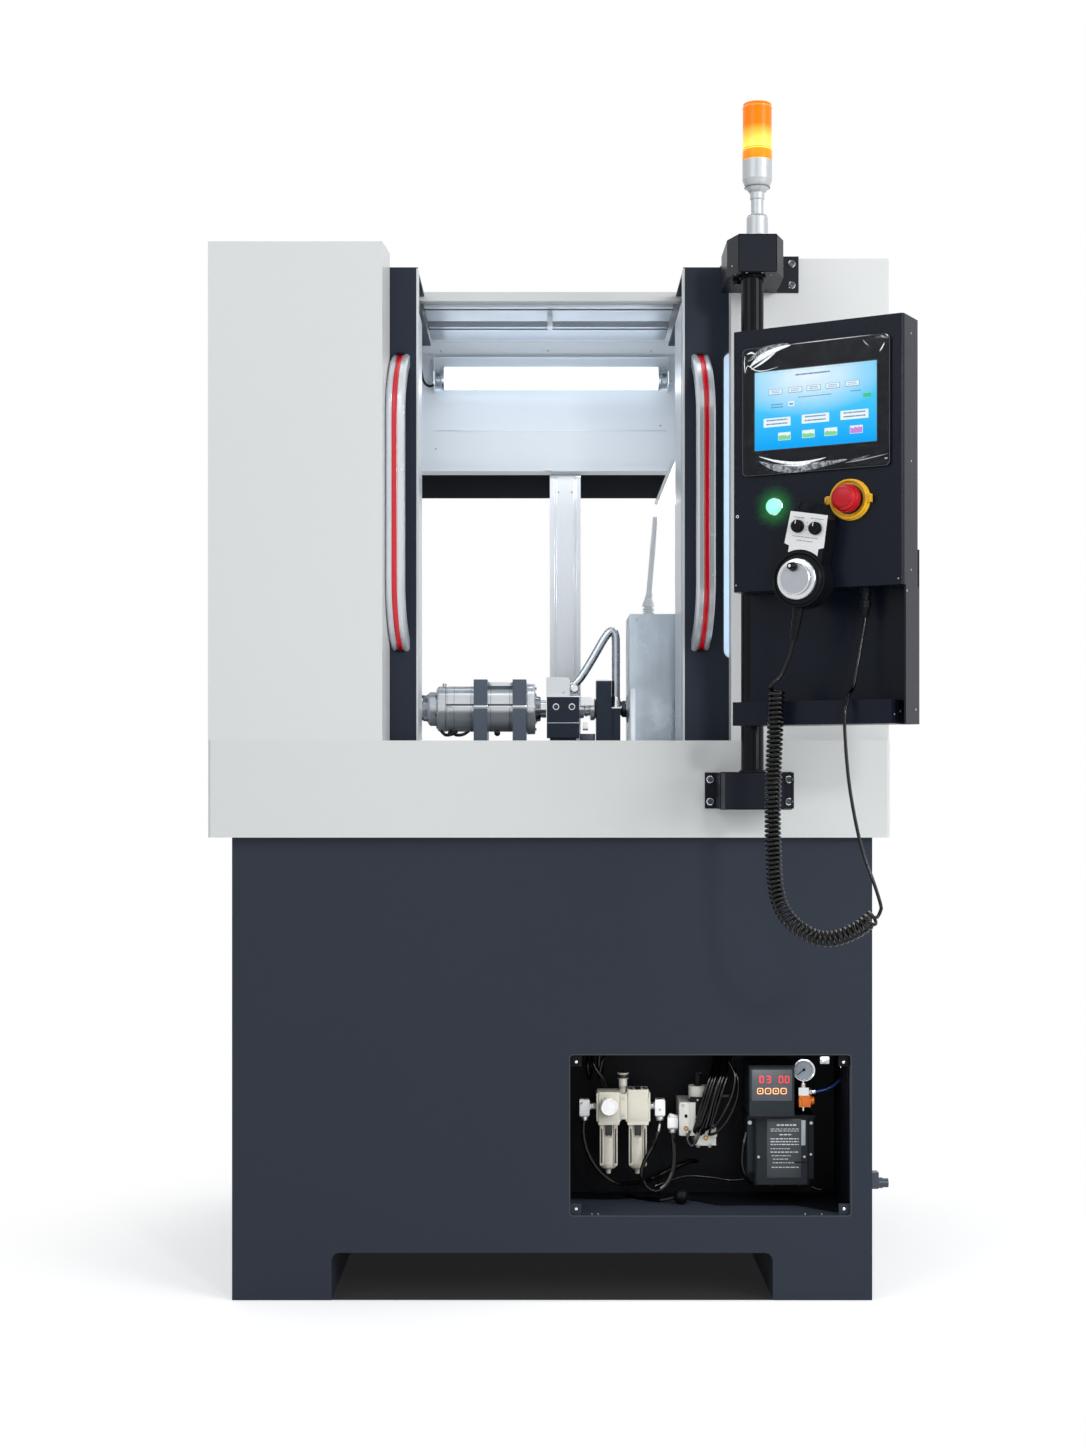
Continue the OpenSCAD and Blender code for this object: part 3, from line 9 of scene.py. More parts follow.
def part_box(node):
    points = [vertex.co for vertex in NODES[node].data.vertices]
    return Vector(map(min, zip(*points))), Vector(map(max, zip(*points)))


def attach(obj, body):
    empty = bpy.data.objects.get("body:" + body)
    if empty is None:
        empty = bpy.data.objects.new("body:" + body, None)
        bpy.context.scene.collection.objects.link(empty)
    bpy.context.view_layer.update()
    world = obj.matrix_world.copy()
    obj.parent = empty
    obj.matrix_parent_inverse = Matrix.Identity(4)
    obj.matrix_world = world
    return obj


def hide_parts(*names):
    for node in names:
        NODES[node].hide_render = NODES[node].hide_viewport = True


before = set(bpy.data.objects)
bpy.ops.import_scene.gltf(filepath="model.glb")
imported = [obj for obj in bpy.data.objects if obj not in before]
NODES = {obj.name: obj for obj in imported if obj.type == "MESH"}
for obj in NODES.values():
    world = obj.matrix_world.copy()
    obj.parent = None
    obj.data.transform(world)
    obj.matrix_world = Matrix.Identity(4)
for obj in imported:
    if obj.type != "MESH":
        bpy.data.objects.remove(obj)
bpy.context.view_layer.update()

MM = 0.001
FULL_TURN = 2 * math.pi
FRONT_Y = -323.5                  # the skirt's front face in the machine's frame
SCENE = bpy.context.scene
SCENE.view_settings.view_transform = "Standard"

UP, DOWN, RIGHT, LEFT, BACK, FORWARD = (0, 0, 1), (0, 0, -1), (1, 0, 0), (-1, 0, 0), (0, 1, 0), (0, -1, 0)


# ------------------------------------------------------------------ frames and small helpers
def spin(degrees, axis):
    return Matrix.Rotation(math.radians(degrees), 4, axis)


def shift(x, y, z):
    return Matrix.Translation((x, y, z))


# Each frame takes millimetres: x to the right, y back from the front, z up.
FRONT = Matrix.Scale(MM, 4) @ shift(0, FRONT_Y, 0)
PANEL = FRONT @ shift(297, -208, 0) @ spin(-30, "Z")
PENDANT = PANEL @ shift(133, 0, 1216) @ spin(10, "Y")


def linear(rgb):
    """Screen colour, 0 to 255, as the linear colour that a shader takes."""
    out = []
    for c in rgb:
        c /= 255
        out.append(c / 12.92 if c <= 0.04045 else ((c + 0.055) / 1.055) ** 2.4)
    return tuple(out) + (1.0,)


def new_object(name, data):
    obj = bpy.data.objects.new(name, data)
    SCENE.collection.objects.link(obj)
    return obj


# ------------------------------------------------------------------ camera
def set_camera():
    data = bpy.data.cameras.new("camera")
    data.sensor_fit = "VERTICAL"
    data.sensor_height = 36
    data.sensor_width = 27
    data.lens = 51.6
    data.shift_y = 0.0387
    SCENE.camera = new_object("camera", data)
    SCENE.camera.location = (-0.0103, -3.8935, 0.901)
    SCENE.camera.rotation_euler = (math.radians(90), 0, 0)


set_camera()


# ------------------------------------------------------------------ nodes
class Num:
    """A socket's number; plain arithmetic on it adds Math nodes to its tree."""

    def __init__(self, socket):
        self.socket = socket

    def do(self, op, *values):
        return Num(node(self.socket.id_data, "Math", *values, operation=op).outputs[0])

    def clamp(self):
        self.socket.node.use_clamp = True
        return self

    def __add__(self, other):
        return self.do("ADD", self, other)

    def __mul__(self, other):
        return self.do("MULTIPLY", self, other)

    def __sub__(self, other):
        return self.do("SUBTRACT", self, other)

    def __rsub__(self, other):
        return self.do("SUBTRACT", other, self)

    def __truediv__(self, other):
        return self.do("DIVIDE", self, other)

    def __pow__(self, other):
        return self.do("POWER", self, other)

    __radd__, __rmul__ = __add__, __mul__


def node(tree, kind, *given, **named):
    """Adds a node; values and sockets fill its inputs in order or by name, and other names are its own settings."""
    n = tree.nodes.new(kind if "Node" in kind else "ShaderNode" + kind)
    values = dict(enumerate(given))
    for key, value in named.items():
        label = key.replace("_", " ")
        if label in n.inputs.keys():
            values[label] = value
        else:
            setattr(n, key, value)
    for key, value in values.items():
        if isinstance(value, Num):
            value = value.socket
        if isinstance(value, bpy.types.NodeSocket):
            tree.links.new(value, n.inputs[key])
        elif value is not None:
            n.inputs[key].default_value = value
    return n


def group(name, **inputs):
    """Makes a shader group from a function of its inputs, giving colour, roughness, height and alpha."""
    def build(make):
        tree = bpy.data.node_groups.new(name, "ShaderNodeTree")
        for label, value in inputs.items():
            kind = {3: "Vector", 4: "Color"}[len(value)] if isinstance(value, tuple) else "Float"
            tree.interface.new_socket(label.replace("_", " "), in_out="INPUT",
                                      socket_type="NodeSocket" + kind).default_value = value
        source = tree.nodes.new("NodeGroupInput")
        results = make(tree, *[Num(s) for s in source.outputs[:len(inputs)]])
        for label, _ in zip(("Colour", "Roughness", "Height", "Alpha"), results):
            kind = "NodeSocketColor" if label == "Colour" else "NodeSocketFloat"
            tree.interface.new_socket(label, in_out="OUTPUT", socket_type=kind)
        node(tree, "NodeGroupOutput", *results)
        return tree
    return build


def place(tree):
    return node(tree, "TexCoord").outputs["Object"]


def noise(tree, scale, detail=3.0, rough=0.5, stretch=None):
    """Noise on object coordinates; stretch squeezes it along the axes."""
    where = place(tree)
    if stretch is not None:
        where = node(tree, "Mapping", Vector=where, Scale=stretch).outputs[0]
    return Num(node(tree, "TexNoise", Vector=where, Scale=scale, Detail=detail, Roughness=rough).outputs["Fac"])


def tint(tree, colour, tone):
    """The colour made lighter or darker by a tone round 1."""
    grey = node(tree, "CombineColor", tone, tone, tone).outputs[0]
    return node(tree, "MixRGB", 1.0, colour, grey, blend_type="MULTIPLY").outputs[0]


def between(tree, t, low, high):
    return node(tree, "MixRGB", t, low, high).outputs[0]


def length_of(tree, vector):
    return Num(node(tree, "VectorMath", vector, operation="LENGTH").outputs["Value"])


def nearness(tree, centre, squeeze, reach):
    """1 at the centre and 0 from reach on, with the axes squeezed."""
    away = node(tree, "VectorMath", place(tree), centre, operation="SUBTRACT").outputs[0]
    flat = node(tree, "VectorMath", away, squeeze, operation="MULTIPLY").outputs[0]
    return (1.0 - length_of(tree, flat) / reach).clamp()


def rise(tree, foot, head):
    """0 at the foot's height and 1 at the head's."""
    z = Num(node(tree, "SeparateXYZ", place(tree)).outputs[2])
    return ((z - foot) / (head - foot)).clamp()


# ------------------------------------------------------------------ effect groups
WHITE = (1, 1, 1, 1)


@group("powder_coat", Colour=(0.5, 0.5, 0.5, 1), Grain=900.0, Drift=0.04, Gloss=0.4, Gloss_Drift=0.08, Fleck=0.0)
def COAT(tree, colour, grain, drift, gloss, gloss_drift, fleck):
    """Powder coat: fine grain in the height, slow drift in tone and gloss, a little settled dust."""
    fine, slow, mid = noise(tree, grain, 2.0, 0.6), noise(tree, 3.2), noise(tree, 38.0, 4.0)
    tone = 1.0 + (slow - 0.5) * drift + (mid - 0.5) * (drift * 0.5) + (fine - 0.5) * fleck
    return tint(tree, colour, tone), (gloss + (mid - 0.5) * gloss_drift).clamp(), fine


@group("brushed_metal", Colour=(0.6, 0.6, 0.6, 1), Along=(4.0, 260.0, 260.0), Gloss=0.25, Line_Depth=0.12,
       Smear=0.1)
def BRUSHED(tree, colour, along, gloss, line_depth, smear):
    """Ground or brushed metal: fine lines along one axis, with a few deeper scratches and smears."""
    lines, smears = noise(tree, 1.0, 4.0, 0.65, along), noise(tree, 14.0, 4.0, 0.6)
    tone = 1.0 + (lines - 0.5) * line_depth - smears * (smear * 0.3)
    rough = gloss + (lines - 0.5) * 0.18 + (smears - 0.45) * smear
    return tint(tree, colour, tone), rough.clamp(), lines


@group("moulded", Colour=(0.1, 0.1, 0.1, 1), Pebble=1500.0, Gloss=0.35, Smear=0.12)
def MOULDED(tree, colour, pebble, gloss, smear):
    """Moulded plastic or rubber: soft pebbling, faint flow marks and finger smears."""
    tone = 0.97 + noise(tree, 6.0, 2.0) * 0.06
    rough = gloss + (noise(tree, 30.0, 3.0, 0.6) - 0.45) * smear
    return tint(tree, colour, tone), rough.clamp(), noise(tree, pebble, 2.0)


@group("height_fade", Colour=WHITE, Head_Colour=WHITE, Foot=0.0, Head=1.0, Gloss=0.15, Waver=0.1)
def FADE(tree, colour, head_colour, foot, head, gloss, waver):
    """Colour that runs from a foot to a head height, with a slow waver."""
    wave = noise(tree, 60.0, 2.0)
    t = (rise(tree, foot, head) + (wave - 0.5) * waver).clamp()
    return between(tree, t, colour, head_colour), gloss + wave * 0.05, wave


@group("soft_spot", Colour=WHITE, Edge_Colour=WHITE, Centre=(0, 0, 0), Squeeze=(1, 1, 1), Reach=0.03, Falloff=2.0)
def SPOT(tree, colour, edge_colour, centre, squeeze, reach, falloff):
    """A soft round patch: strength and alpha fall off from a centre."""
    fall, wave = nearness(tree, centre, squeeze, reach) ** falloff, noise(tree, 90.0, 2.0)
    return between(tree, fall, edge_colour, colour), 0.3 + wave * 0.1, wave, (fall * (0.92 + wave * 0.16)).clamp()


@group("clear_film", Colour=WHITE, Clear=0.05, Crease=0.3, Scale=40.0, Sharp=6.0)
def FILM(tree, colour, clear, crease, scale, sharp):
    """Thin clear film: nearly nothing where it lies flat, milky where it is creased."""
    wrinkle = noise(tree, scale, 3.0, 0.55)
    off = wrinkle - 0.5
    ridge = (1.0 - off.do("ABSOLUTE", off) * 8.0).clamp() ** sharp
    return colour, 0.06 + wrinkle * 0.12, wrinkle, (clear + ridge * crease).clamp()


@group("screen_picture", Colour=(0, 0.2, 0.8, 1), Mid_Colour=(0, 0.6, 1, 1), Pale_Colour=WHITE, Foot=1.43,
       Head=1.556,
       Centre=(0, 0, 0), Glow=0.08)
def PICTURE(tree, colour, mid_colour, pale_colour, foot, head, centre, glow):
    """The screen's background: pale light at the top, deep blue at the foot."""
    low = between(tree, (rise(tree, foot, head) * 1.9).clamp(), colour, mid_colour)
    near, cloud = nearness(tree, centre, (0.62, 0.62, 1.35), glow), noise(tree, 34.0, 2.0)
    return between(tree, (near * (0.8 + cloud * 0.4)).clamp(), low, pale_colour), 0.08 + cloud * 0.05, cloud


# ------------------------------------------------------------------ finishes
FINISH = {}


def material(name, effect, rgb, bump=0.0, depth=0.1, **values):
    """A finish: one Principled shader fed by an effect group; depth is the bump's, in millimetres.

    Each further value goes to the group's input of that name, or else to the shader's own.
    """
    m = FINISH[name] = bpy.data.materials.new(name)
    m.use_nodes = True
    t = m.node_tree
    p = t.nodes["Principled BSDF"]
    g = node(t, "Group", node_tree=effect)
    for key, value in {"Colour": rgb, **values}.items():
        label = key.replace("_", " ")
        own = (g if label in g.inputs.keys() else p).inputs[label]
        own.default_value = linear(value) if "Col" in label else value
    t.links.new(g.outputs["Colour"], p.inputs["Base Color"])
    t.links.new(g.outputs["Roughness"], p.inputs["Roughness"])
    if bump:
        b = node(t, "Bump", Strength=bump, Distance=depth * MM, Height=g.outputs["Height"])
        t.links.new(b.outputs[0], p.inputs["Normal"])
    return t, p, g


def shining(name, effect, rgb, strength, alpha=False, dim=False, **values):
    """A finish whose group colour also glows, and may fade out by the group's alpha; dim leaves only the glow."""
    t, p, g = material(name, effect, rgb, **values)
    if strength:
        t.links.new(g.outputs["Colour"], p.inputs["Emission Color"])
        p.inputs["Emission Strength"].default_value = strength
    if dim:
        t.links.remove(p.inputs["Base Color"].links[0])
        p.inputs["Base Color"].default_value = linear((8, 8, 9))
    if alpha:
        t.links.new(g.outputs["Alpha"], p.inputs["Alpha"])


def dull(level):
    return {"Specular_IOR_Level": level}


DARK = dull(0.12)
# name, colour, bump, its depth, grain, gloss, drift, and what else differs
for name, rgb, bump, depth, grain, gloss, drift, more in (
    ("cover_white", (221, 223, 223), 0.10, 0.2, 700, 0.33, 0.02, {}),
    ("sill_white", (217, 220, 219), 0.10, 0.2, 700, 0.33, 0.02, {}),
    ("inner_white", (214, 220, 226), 0.10, 0.2, 700, 0.30, 0.03, {}),
    ("base_navy", (49, 55, 66), 0.22, 0.3, 620, 0.42, 0.08, DARK),
    ("door_navy", (42, 48, 60), 0.12, 0.2, 700, 0.34, 0.06, DARK),
    ("panel_black", (20, 25, 37), 0.35, 0.4, 420, 0.27, 0.10, {"Fleck": 0.12, **DARK}),
    ("bracket_black", (24, 28, 37), 0.3, 0.3, 420, 0.34, 0.08, DARK),
    ("pole_black", (10, 13, 19), 0.04, 0.2, 500, 0.1, 0.05, {"Gloss_Drift": 0.02, **DARK}),
    ("rear_dark", (20, 26, 38), 0.15, 0.2, 500, 0.45, 0.08, {}),
    ("clamp_grey", (98, 112, 129), 0.2, 0.2, 700, 0.34, 0.06, {}),
    ("steady_grey", (56, 65, 79), 0.2, 0.2, 700, 0.34, 0.06, DARK),
    ("cast_grey", (108, 114, 122), 0.6, 0.6, 240, 0.5, 0.12, {}),
    ("handle_satin", (212, 217, 223), 0.03, 0.1, 900, 0.26, 0.03, {"Metallic": 0.45}),
    ("valve_grey", (196, 196, 190), 0.3, 0.3, 520, 0.38, 0.08, {}),
    ("beacon_silver", (196, 200, 203), 0.06, 0.1, 800, 0.34, 0.04, {"Metallic": 0.3}),
    ("dial_face", (164, 174, 184), 0.02, 0.1, 900, 0.3, 0.03, {}),
    # The black below finishes sheets that stand in for the shade inside the bay: painted shade.
    ("lining_black", (9, 11, 16), 0.2, 0.3, 520, 0.5, 0.1, DARK),
    ("tank_grey", (38, 43, 48), 0.15, 0.2, 620, 0.4, 0.08, DARK),
    ("label_grey", (52, 57, 62), 0.05, 0.1, 900, 0.42, 0.1, {}),
    ("display_grey", (62, 66, 72), 0.05, 0.1, 900, 0.4, 0.06, {}),
):
    material(name, COAT, rgb, bump, depth, Grain=grain, Gloss=gloss, Drift=drift, **more)

# name, colour, bump, gloss, metallic, depth of the lines, and what else differs
for name, rgb, bump, gloss, metallic, lines, more in (
    ("aluminium", (196, 203, 210), 0.05, 0.32, 0.9, 0.12, {}),
    ("post_white", (242, 246, 250), 0.03, 0.34, 0.2, 0.04, {"Along": (260.0, 260.0, 4.0)}),
    ("sheet_satin", (190, 202, 214), 0.06, 0.30, 0.85, 0.22, {"Along": (70.0, 70.0, 3.0), "Smear": 0.7}),
    ("spindle_satin", (238, 242, 246), 0.03, 0.2, 0.5, 0.06, {"Along": (3.0, 420.0, 420.0)}),
    ("bright_steel", (214, 218, 222), 0.04, 0.16, 1.0, 0.1, {"Along": (3.0, 420.0, 420.0)}),
    ("plain_steel", (186, 192, 198), 0.06, 0.28, 1.0, 0.12, {}),
    ("oxide_black", (74, 82, 92), 0.05, 0.36, 0.65, 0.25, {}),
    ("dial_silver", (170, 174, 180), 0.04, 0.3, 0.7, 0.12, {"Along": (90.0, 4.0, 90.0)}),
    ("chrome", (225, 228, 230), 0.02, 0.1, 1.0, 0.03, {}),
    ("brass", (186, 146, 84), 0.04, 0.25, 1.0, 0.12, {}),
    ("plate_silver", (226, 228, 228), 0.02, 0.38, 0.35, 0.06, {"Along": (200.0, 8.0, 200.0)}),
    ("bronze", (150, 104, 58), 0.04, 0.3, 1.0, 0.12, {}),
):
    material(name, BRUSHED, rgb, bump, Gloss=gloss, Metallic=metallic, Line_Depth=lines, **more)

# name, colour, bump, its depth, gloss, and what else differs
for name, rgb, bump, depth, gloss, more in (
    ("strip_red", (205, 12, 34), 0.02, 0.1, 0.22, {"Coat_Weight": 0.3}),
    ("black_plastic", (15, 17, 21), 0.12, 0.2, 0.34, DARK),
    ("knob_black", (14, 14, 17), 0.05, 0.1, 0.2, DARK),
    ("cord_black", (4, 4, 6), 0.03, 0.1, 0.13, {"Smear": 0.05, **dull(0.3)}),
    ("hose_black", (4, 4, 6), 0.02, 0.1, 0.12, {"Smear": 0.05, **dull(0.35)}),
    ("hose_blue", (24, 44, 104), 0.02, 0.1, 0.2, {}),
    ("filter_cream", (204, 200, 187), 0.10, 0.2, 0.34, {}),
    ("knob_white", (235, 236, 236), 0.04, 0.1, 0.22, {}),
    ("ring_yellow", (238, 182, 20), 0.03, 0.1, 0.3, {}),
    ("stop_red", (190, 12, 30), 0.03, 0.1, 0.24, dull(0.3)),
    ("orange", (240, 122, 22), 0.03, 0.1, 0.28, {}),
    ("bezel_black", (9, 12, 18), 0.02, 0.1, 0.2, DARK),
    # The pale seal colour below is partly a painted highlight along the doors' leading edges.
    ("seal_grey", (212, 216, 219), 0.03, 0.1, 0.4, {}),
    ("seal_black", (14, 15, 17), 0.05, 0.1, 0.45, {}),
    ("print_white", (214, 218, 222), 0.02, 0.1, 0.4, {}),
    ("sight_pale", (176, 186, 192), 0.03, 0.1, 0.18, {"Coat_Weight": 0.4}),
):
    material(name, MOULDED, rgb, bump, depth, Gloss=gloss, **more)

# name, colour, strength, gloss: lit from inside with one even colour
for name, rgb, strength, gloss in (
    ("lamp_glow", (240, 247, 255), 1.05, 0.3), ("flood_glow", (250, 252, 255), 2.5, 0.3),
    ("green_glow", (140, 250, 205), 0.8, 0.25), ("digits_red", (255, 40, 44), 1.0, 0.3),
    ("line_orange", (255, 178, 128), 0.6, 0.3),
):
    material(name, MOULDED, rgb, Gloss=gloss, Emission_Color=rgb, Emission_Strength=strength)

# name, colours at the foot and the head, strength, heights of both, and what else differs
SOFT = dull(0.05)
SCREEN_PART = {"dim": True, **SOFT}
LENS = {"Waver": 0.02, **dull(0.2)}
for name, rgb, head_rgb, strength, foot, head, more in (
    ("lens_glow", (255, 226, 96), (250, 112, 0), 0.62, 1.972, 2.006, LENS),
    ("lens_cap", (250, 120, 6), (252, 160, 80), 0.35, 2.02, 2.044, {}),
    ("cap_amber", (250, 132, 10), (252, 150, 20), 0.45, 1.947, 1.965, LENS),
    ("screen_white", (240, 249, 252), (222, 243, 252), 1.0, 1.43, 1.55, SCREEN_PART),
    ("screen_line", (58, 104, 150), (70, 124, 178), 1.0, 1.43, 1.55, SCREEN_PART),
    ("screen_green", (142, 222, 150), (64, 196, 120), 1.0, 1.43, 1.51, SCREEN_PART),
    ("screen_purple", (196, 120, 214), (206, 150, 224), 1.0, 1.43, 1.46, SCREEN_PART),
):
    shining(name, FADE, rgb, strength, Head_Colour=head_rgb, Foot=foot, Head=head, **more)

shining("screen_blue", PICTURE, (0, 168, 250), 1.0, dim=True, Mid_Colour=(70, 202, 252),
        Pale_Colour=(244, 253, 255),
        Foot=1.432, Head=1.556, Centre=PANEL @ Vector((134, -5, 1543)), Glow=0.088, **SOFT)
# Painted light: a soft green pool of the start lamp's light on the panel round the button, glowing and fading out
# by its alpha.
shining("green_pool", SPOT, (20, 150, 66), 0.4, alpha=True, Edge_Colour=(0, 96, 40),
        Centre=PANEL @ Vector((73.6, 0, 1339)), Reach=0.041, Falloff=2.0)

# name, colour, strength, bump, its depth, clear share, crease, scale, sharpness, and what else differs
for name, rgb, strength, bump, depth, clear, crease, scale, sharp, more in (
    ("film", (120, 126, 136), 0, 0.25, 0.6, 0.03, 0.07, 26, 6, dull(0.3)),
    # The near-white crease finish below glows: whitening of creased film with a painted highlight for the light the
    # creases catch; the milky finish after it glows faintly, a painted sheen.
    ("film_crease", (246, 249, 252), 0.28, 0.4, 0.6, 0.62, 0.38, 90, 2, {"Coat_Weight": 0.6}),
    ("film_milk", (214, 220, 228), 0.06, 0.3, 0.5, 0.10, 0.5, 120, 3, {"Coat_Weight": 0.6}),
    # The pane finish glows pale blue: painted light for the brightness of the door windows, over their film's milky
    # creases.
    ("pane", (206, 228, 248), 0.72, 0.2, 0.8, 0.82, 0.18, 34, 1.5, {"Coat_Weight": 0.8}),
):
    shining(name, FILM, rgb, strength, alpha=True, bump=bump, depth=depth, Clear=clear, Crease=crease, Scale=scale,
            Sharp=sharp, **more)


# ------------------------------------------------------------------ the pendant's cord
CORD_D = 5.5                      # outer diameter of the cord itself
COIL_D = 27.0                     # outer diameter of the curly stretch
PITCH = 7.45                      # from turn to turn where it hangs
FOOT_PITCH = 1.2                  # what the pitch gains from the bend at its foot on
FOOT_START, FOOT_RUN = 330, 60    # where on the curly stretch that is, and over what length
POINT_GAP = 4.8                   # along the cord, between its points
LEAD = [(116.3, -24, 1121.6), (111, -24, 1100), (102, -25, 1078), (93, -25, 1060), (88.6, -25, 1046)]
COIL = [(85, -25, 967), (82, -25, 886), (82, -25, 805), (88, -25, 724), (108, -25, 682), (148, -25, 656),
        (184, -25, 653), (226, -25, 670), (258, -25, 696)]
TAIL = [(263, -25, 700), (262, -25, 710), (252, -25, 740), (230, -25, 800), (212, -25, 886), (204, -25, 966),
        (203, -22, 1010), (204, -10, 1034), (205, 6, 1046), (206, 16, 1070), (211, 27, 1120), (214.5, 35, 1160),
        (214.5, 35, 1185)]


def catmull(points, steps):
    """A smooth line through the points."""
    pts = [Vector(p) for p in points]
    out = []
    for k in range(len(pts) - 1):
        a, b, c, d = (pts[max(0, min(len(pts) - 1, k + n))] for n in (-1, 0, 1, 2))
        for s in range(steps):
            t = s / steps
            out.append(0.5 * (2 * b + (c - a) * t + (2 * a - 5 * b + 4 * c - d) * t * t
                              + (3 * b - a - 3 * c + d) * t ** 3))
    out.append(pts[-1])
    return out


def evenly(line, gap):
    """The same line with a point every gap."""
    out, left = [line[0].copy()], gap
    for a, b in zip(line, line[1:]):
        seg = (b - a).length
        pos = 0.0
        while seg - pos >= left:
            pos += left
            out.append(a.lerp(b, pos / seg))
            left = gap
        left -= seg - pos
    return out


def run_length(line):
    return sum((b - a).length for a, b in zip(line, line[1:]))


def unit(t):
    return min(1.0, max(0.0, t))


def ease(t):
    t = unit(t)
    return t * t * (3 - 2 * t)


def cord_line(spine, start, stop):
    """The cord round its route: curled between start and stop, with a smooth run in and out."""
    radius = (COIL_D - CORD_D) / 2
    side = Vector(FORWARD)
    out, turn, gone, since = [spine[0]], 0.0, 0.0, 0.0
    for a, b in zip(spine, spine[1:]):
        seg = (b - a).length
        t = (b - a).normalized()
        side = (side - t * side.dot(t)).normalized()
        gone += seg
        pitch = PITCH + FOOT_PITCH * unit((gone - start - FOOT_START) / FOOT_RUN)
        past = max(0.0, start + 6 - gone, gone - (stop - 12))
        winding = math.exp(-past / 5) / pitch
        turn += seg * winding
        lift = radius * ease((gone - start + 30) / 26) * ease((stop + 8 - gone) / 22)
        angle = FULL_TURN * turn
        since += seg * math.hypot(1, FULL_TURN * lift * winding)
        if since >= POINT_GAP:
            since = 0.0
            out.append(b + lift * (side * math.cos(angle) + t.cross(side) * math.sin(angle)))
    return out + [spine[-1]]


def make_cord():
    steps = 40
    route = catmull(LEAD + COIL + TAIL, steps)
    start, stop = (run_length(route[:steps * (n - 1) + 1]) for n in (len(LEAD), len(LEAD + COIL)))
    line = [PANEL @ v for v in cord_line(evenly(route, 0.08), start, stop)]
    curve = bpy.data.curves.new("pendant_cord", "CURVE")
    curve.dimensions = "3D"
    curve.bevel_depth = CORD_D / 2 * MM
    curve.bevel_resolution = 3
    curve.resolution_u = 2
    curve.use_fill_caps = True
    spline = curve.splines.new("POLY")
    spline.points.add(len(line) - 1)
    for point, v in zip(spline.points, line):
        point.co = (*v, 1)
    obj = new_object("pendant_cord", curve)
    curve.materials.append(FINISH["cord_black"])
    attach(obj, "control_panel")
    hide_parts("cord_lead", "cord_coil", "cord_tail")
    return obj, run_length(line)


CORD, CORD_LENGTH = make_cord()




# ------------------------------------------------------------------ finishes of the CAD pieces
NODE_FINISH = {
    "base_navy": ["base_cabinet"],
    "sill_white": ["skirt"],
    "cover_white": ["left_cover", "right_cover", "roof_panel"],
    "inner_white": ["area_liner", "header_panel"],
    "rear_dark": ["rear_frame"],
    "aluminium": ["door_rails"],
    "post_white": ["rear_post"],
    "sheet_satin": ["head_cover"],
    "clamp_grey": ["spindle_clamps"],
    "steady_grey": ["steady_block", "rest_plate"],
    "plain_steel": ["slide_rails", "coolant_pipe"],
    "spindle_satin": ["spindle_body", "steady_fittings"],
    "bright_steel": ["spindle_shaft"],
    "cast_grey": ["machine_bed", "spindle_saddle", "head_stock"],
    "oxide_black": ["work_spindle", "bracket_screws", "air_coupler"],
    "lamp_glow": ["tube_lamp"],
    "flood_glow": ["work_lamp_head"],
    "bracket_black": ["work_lamp_arm", "pole_brackets"],
    "door_navy": ["left_door", "right_door"],
    "pane": ["left_window", "right_window"],
    "handle_satin": ["left_handle", "right_handle"],
    "knob_white": ["mist_pipe", "regulator_knob"],
    "pole_black": ["pole"],
    "beacon_silver": ["beacon_stand"],
    "lens_glow": ["beacon_lens"],
    "panel_black": ["control_box", "panel_back"],
    "bezel_black": ["screen_unit"],
    "green_glow": ["start_button"],
    "ring_yellow": ["stop_ring"],
    "stop_red": ["stop_button"],
    "black_plastic": ["pendant_body"],
    "tank_grey": ["lubricator"],
    "dial_silver": ["hand_dial"],
    "knob_black": ["dial_crank", "axis_knob", "rate_knob", "gauge_needle"],
    "filter_cream": ["filter_unit"],
    "valve_grey": ["valve_manifold"],
    "chrome": ["pressure_gauge"],
    "hose_black": ["air_hoses"],
    "cord_black": ["cord_lead", "cord_coil", "cord_tail"],
}


def dress_nodes():
    for finish, names in NODE_FINISH.items():
        for name in names:
            mats = NODES[name].data.materials
            mats.clear()
            mats.append(FINISH[finish])


dress_nodes()


# ------------------------------------------------------------------ shapes, in millimetres
def rounded(cx, cz, w, h, r, steps=5):
    """Outline of a rectangle with round corners, as seen from the front."""
    r = min(r, w / 2 - 0.01, h / 2 - 0.01)
    out = []
    for k, (sx, sz) in enumerate(((1, 1), (-1, 1), (-1, -1), (1, -1))):
        for s in range(steps + 1):
            a = math.radians(90 * (k + s / steps))
            out.append((cx + sx * (w / 2 - r) + r * math.cos(a), cz + sz * (h / 2 - r) + r * math.sin(a)))
    return out


def ring(cx, cz, r, n=32):
    return [(cx + r * math.cos(FULL_TURN * k / n), cz + r * math.sin(FULL_TURN * k / n)) for k in range(n)]


def show(name, mesh, body, smooth):
    """Makes a finished mesh a piece that rides on a body."""
    if smooth:
        mesh.shade_smooth()
        mesh.set_sharp_from_angle(angle=math.radians(smooth))
    obj = new_object(name, mesh)
    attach(obj, body)
    return obj


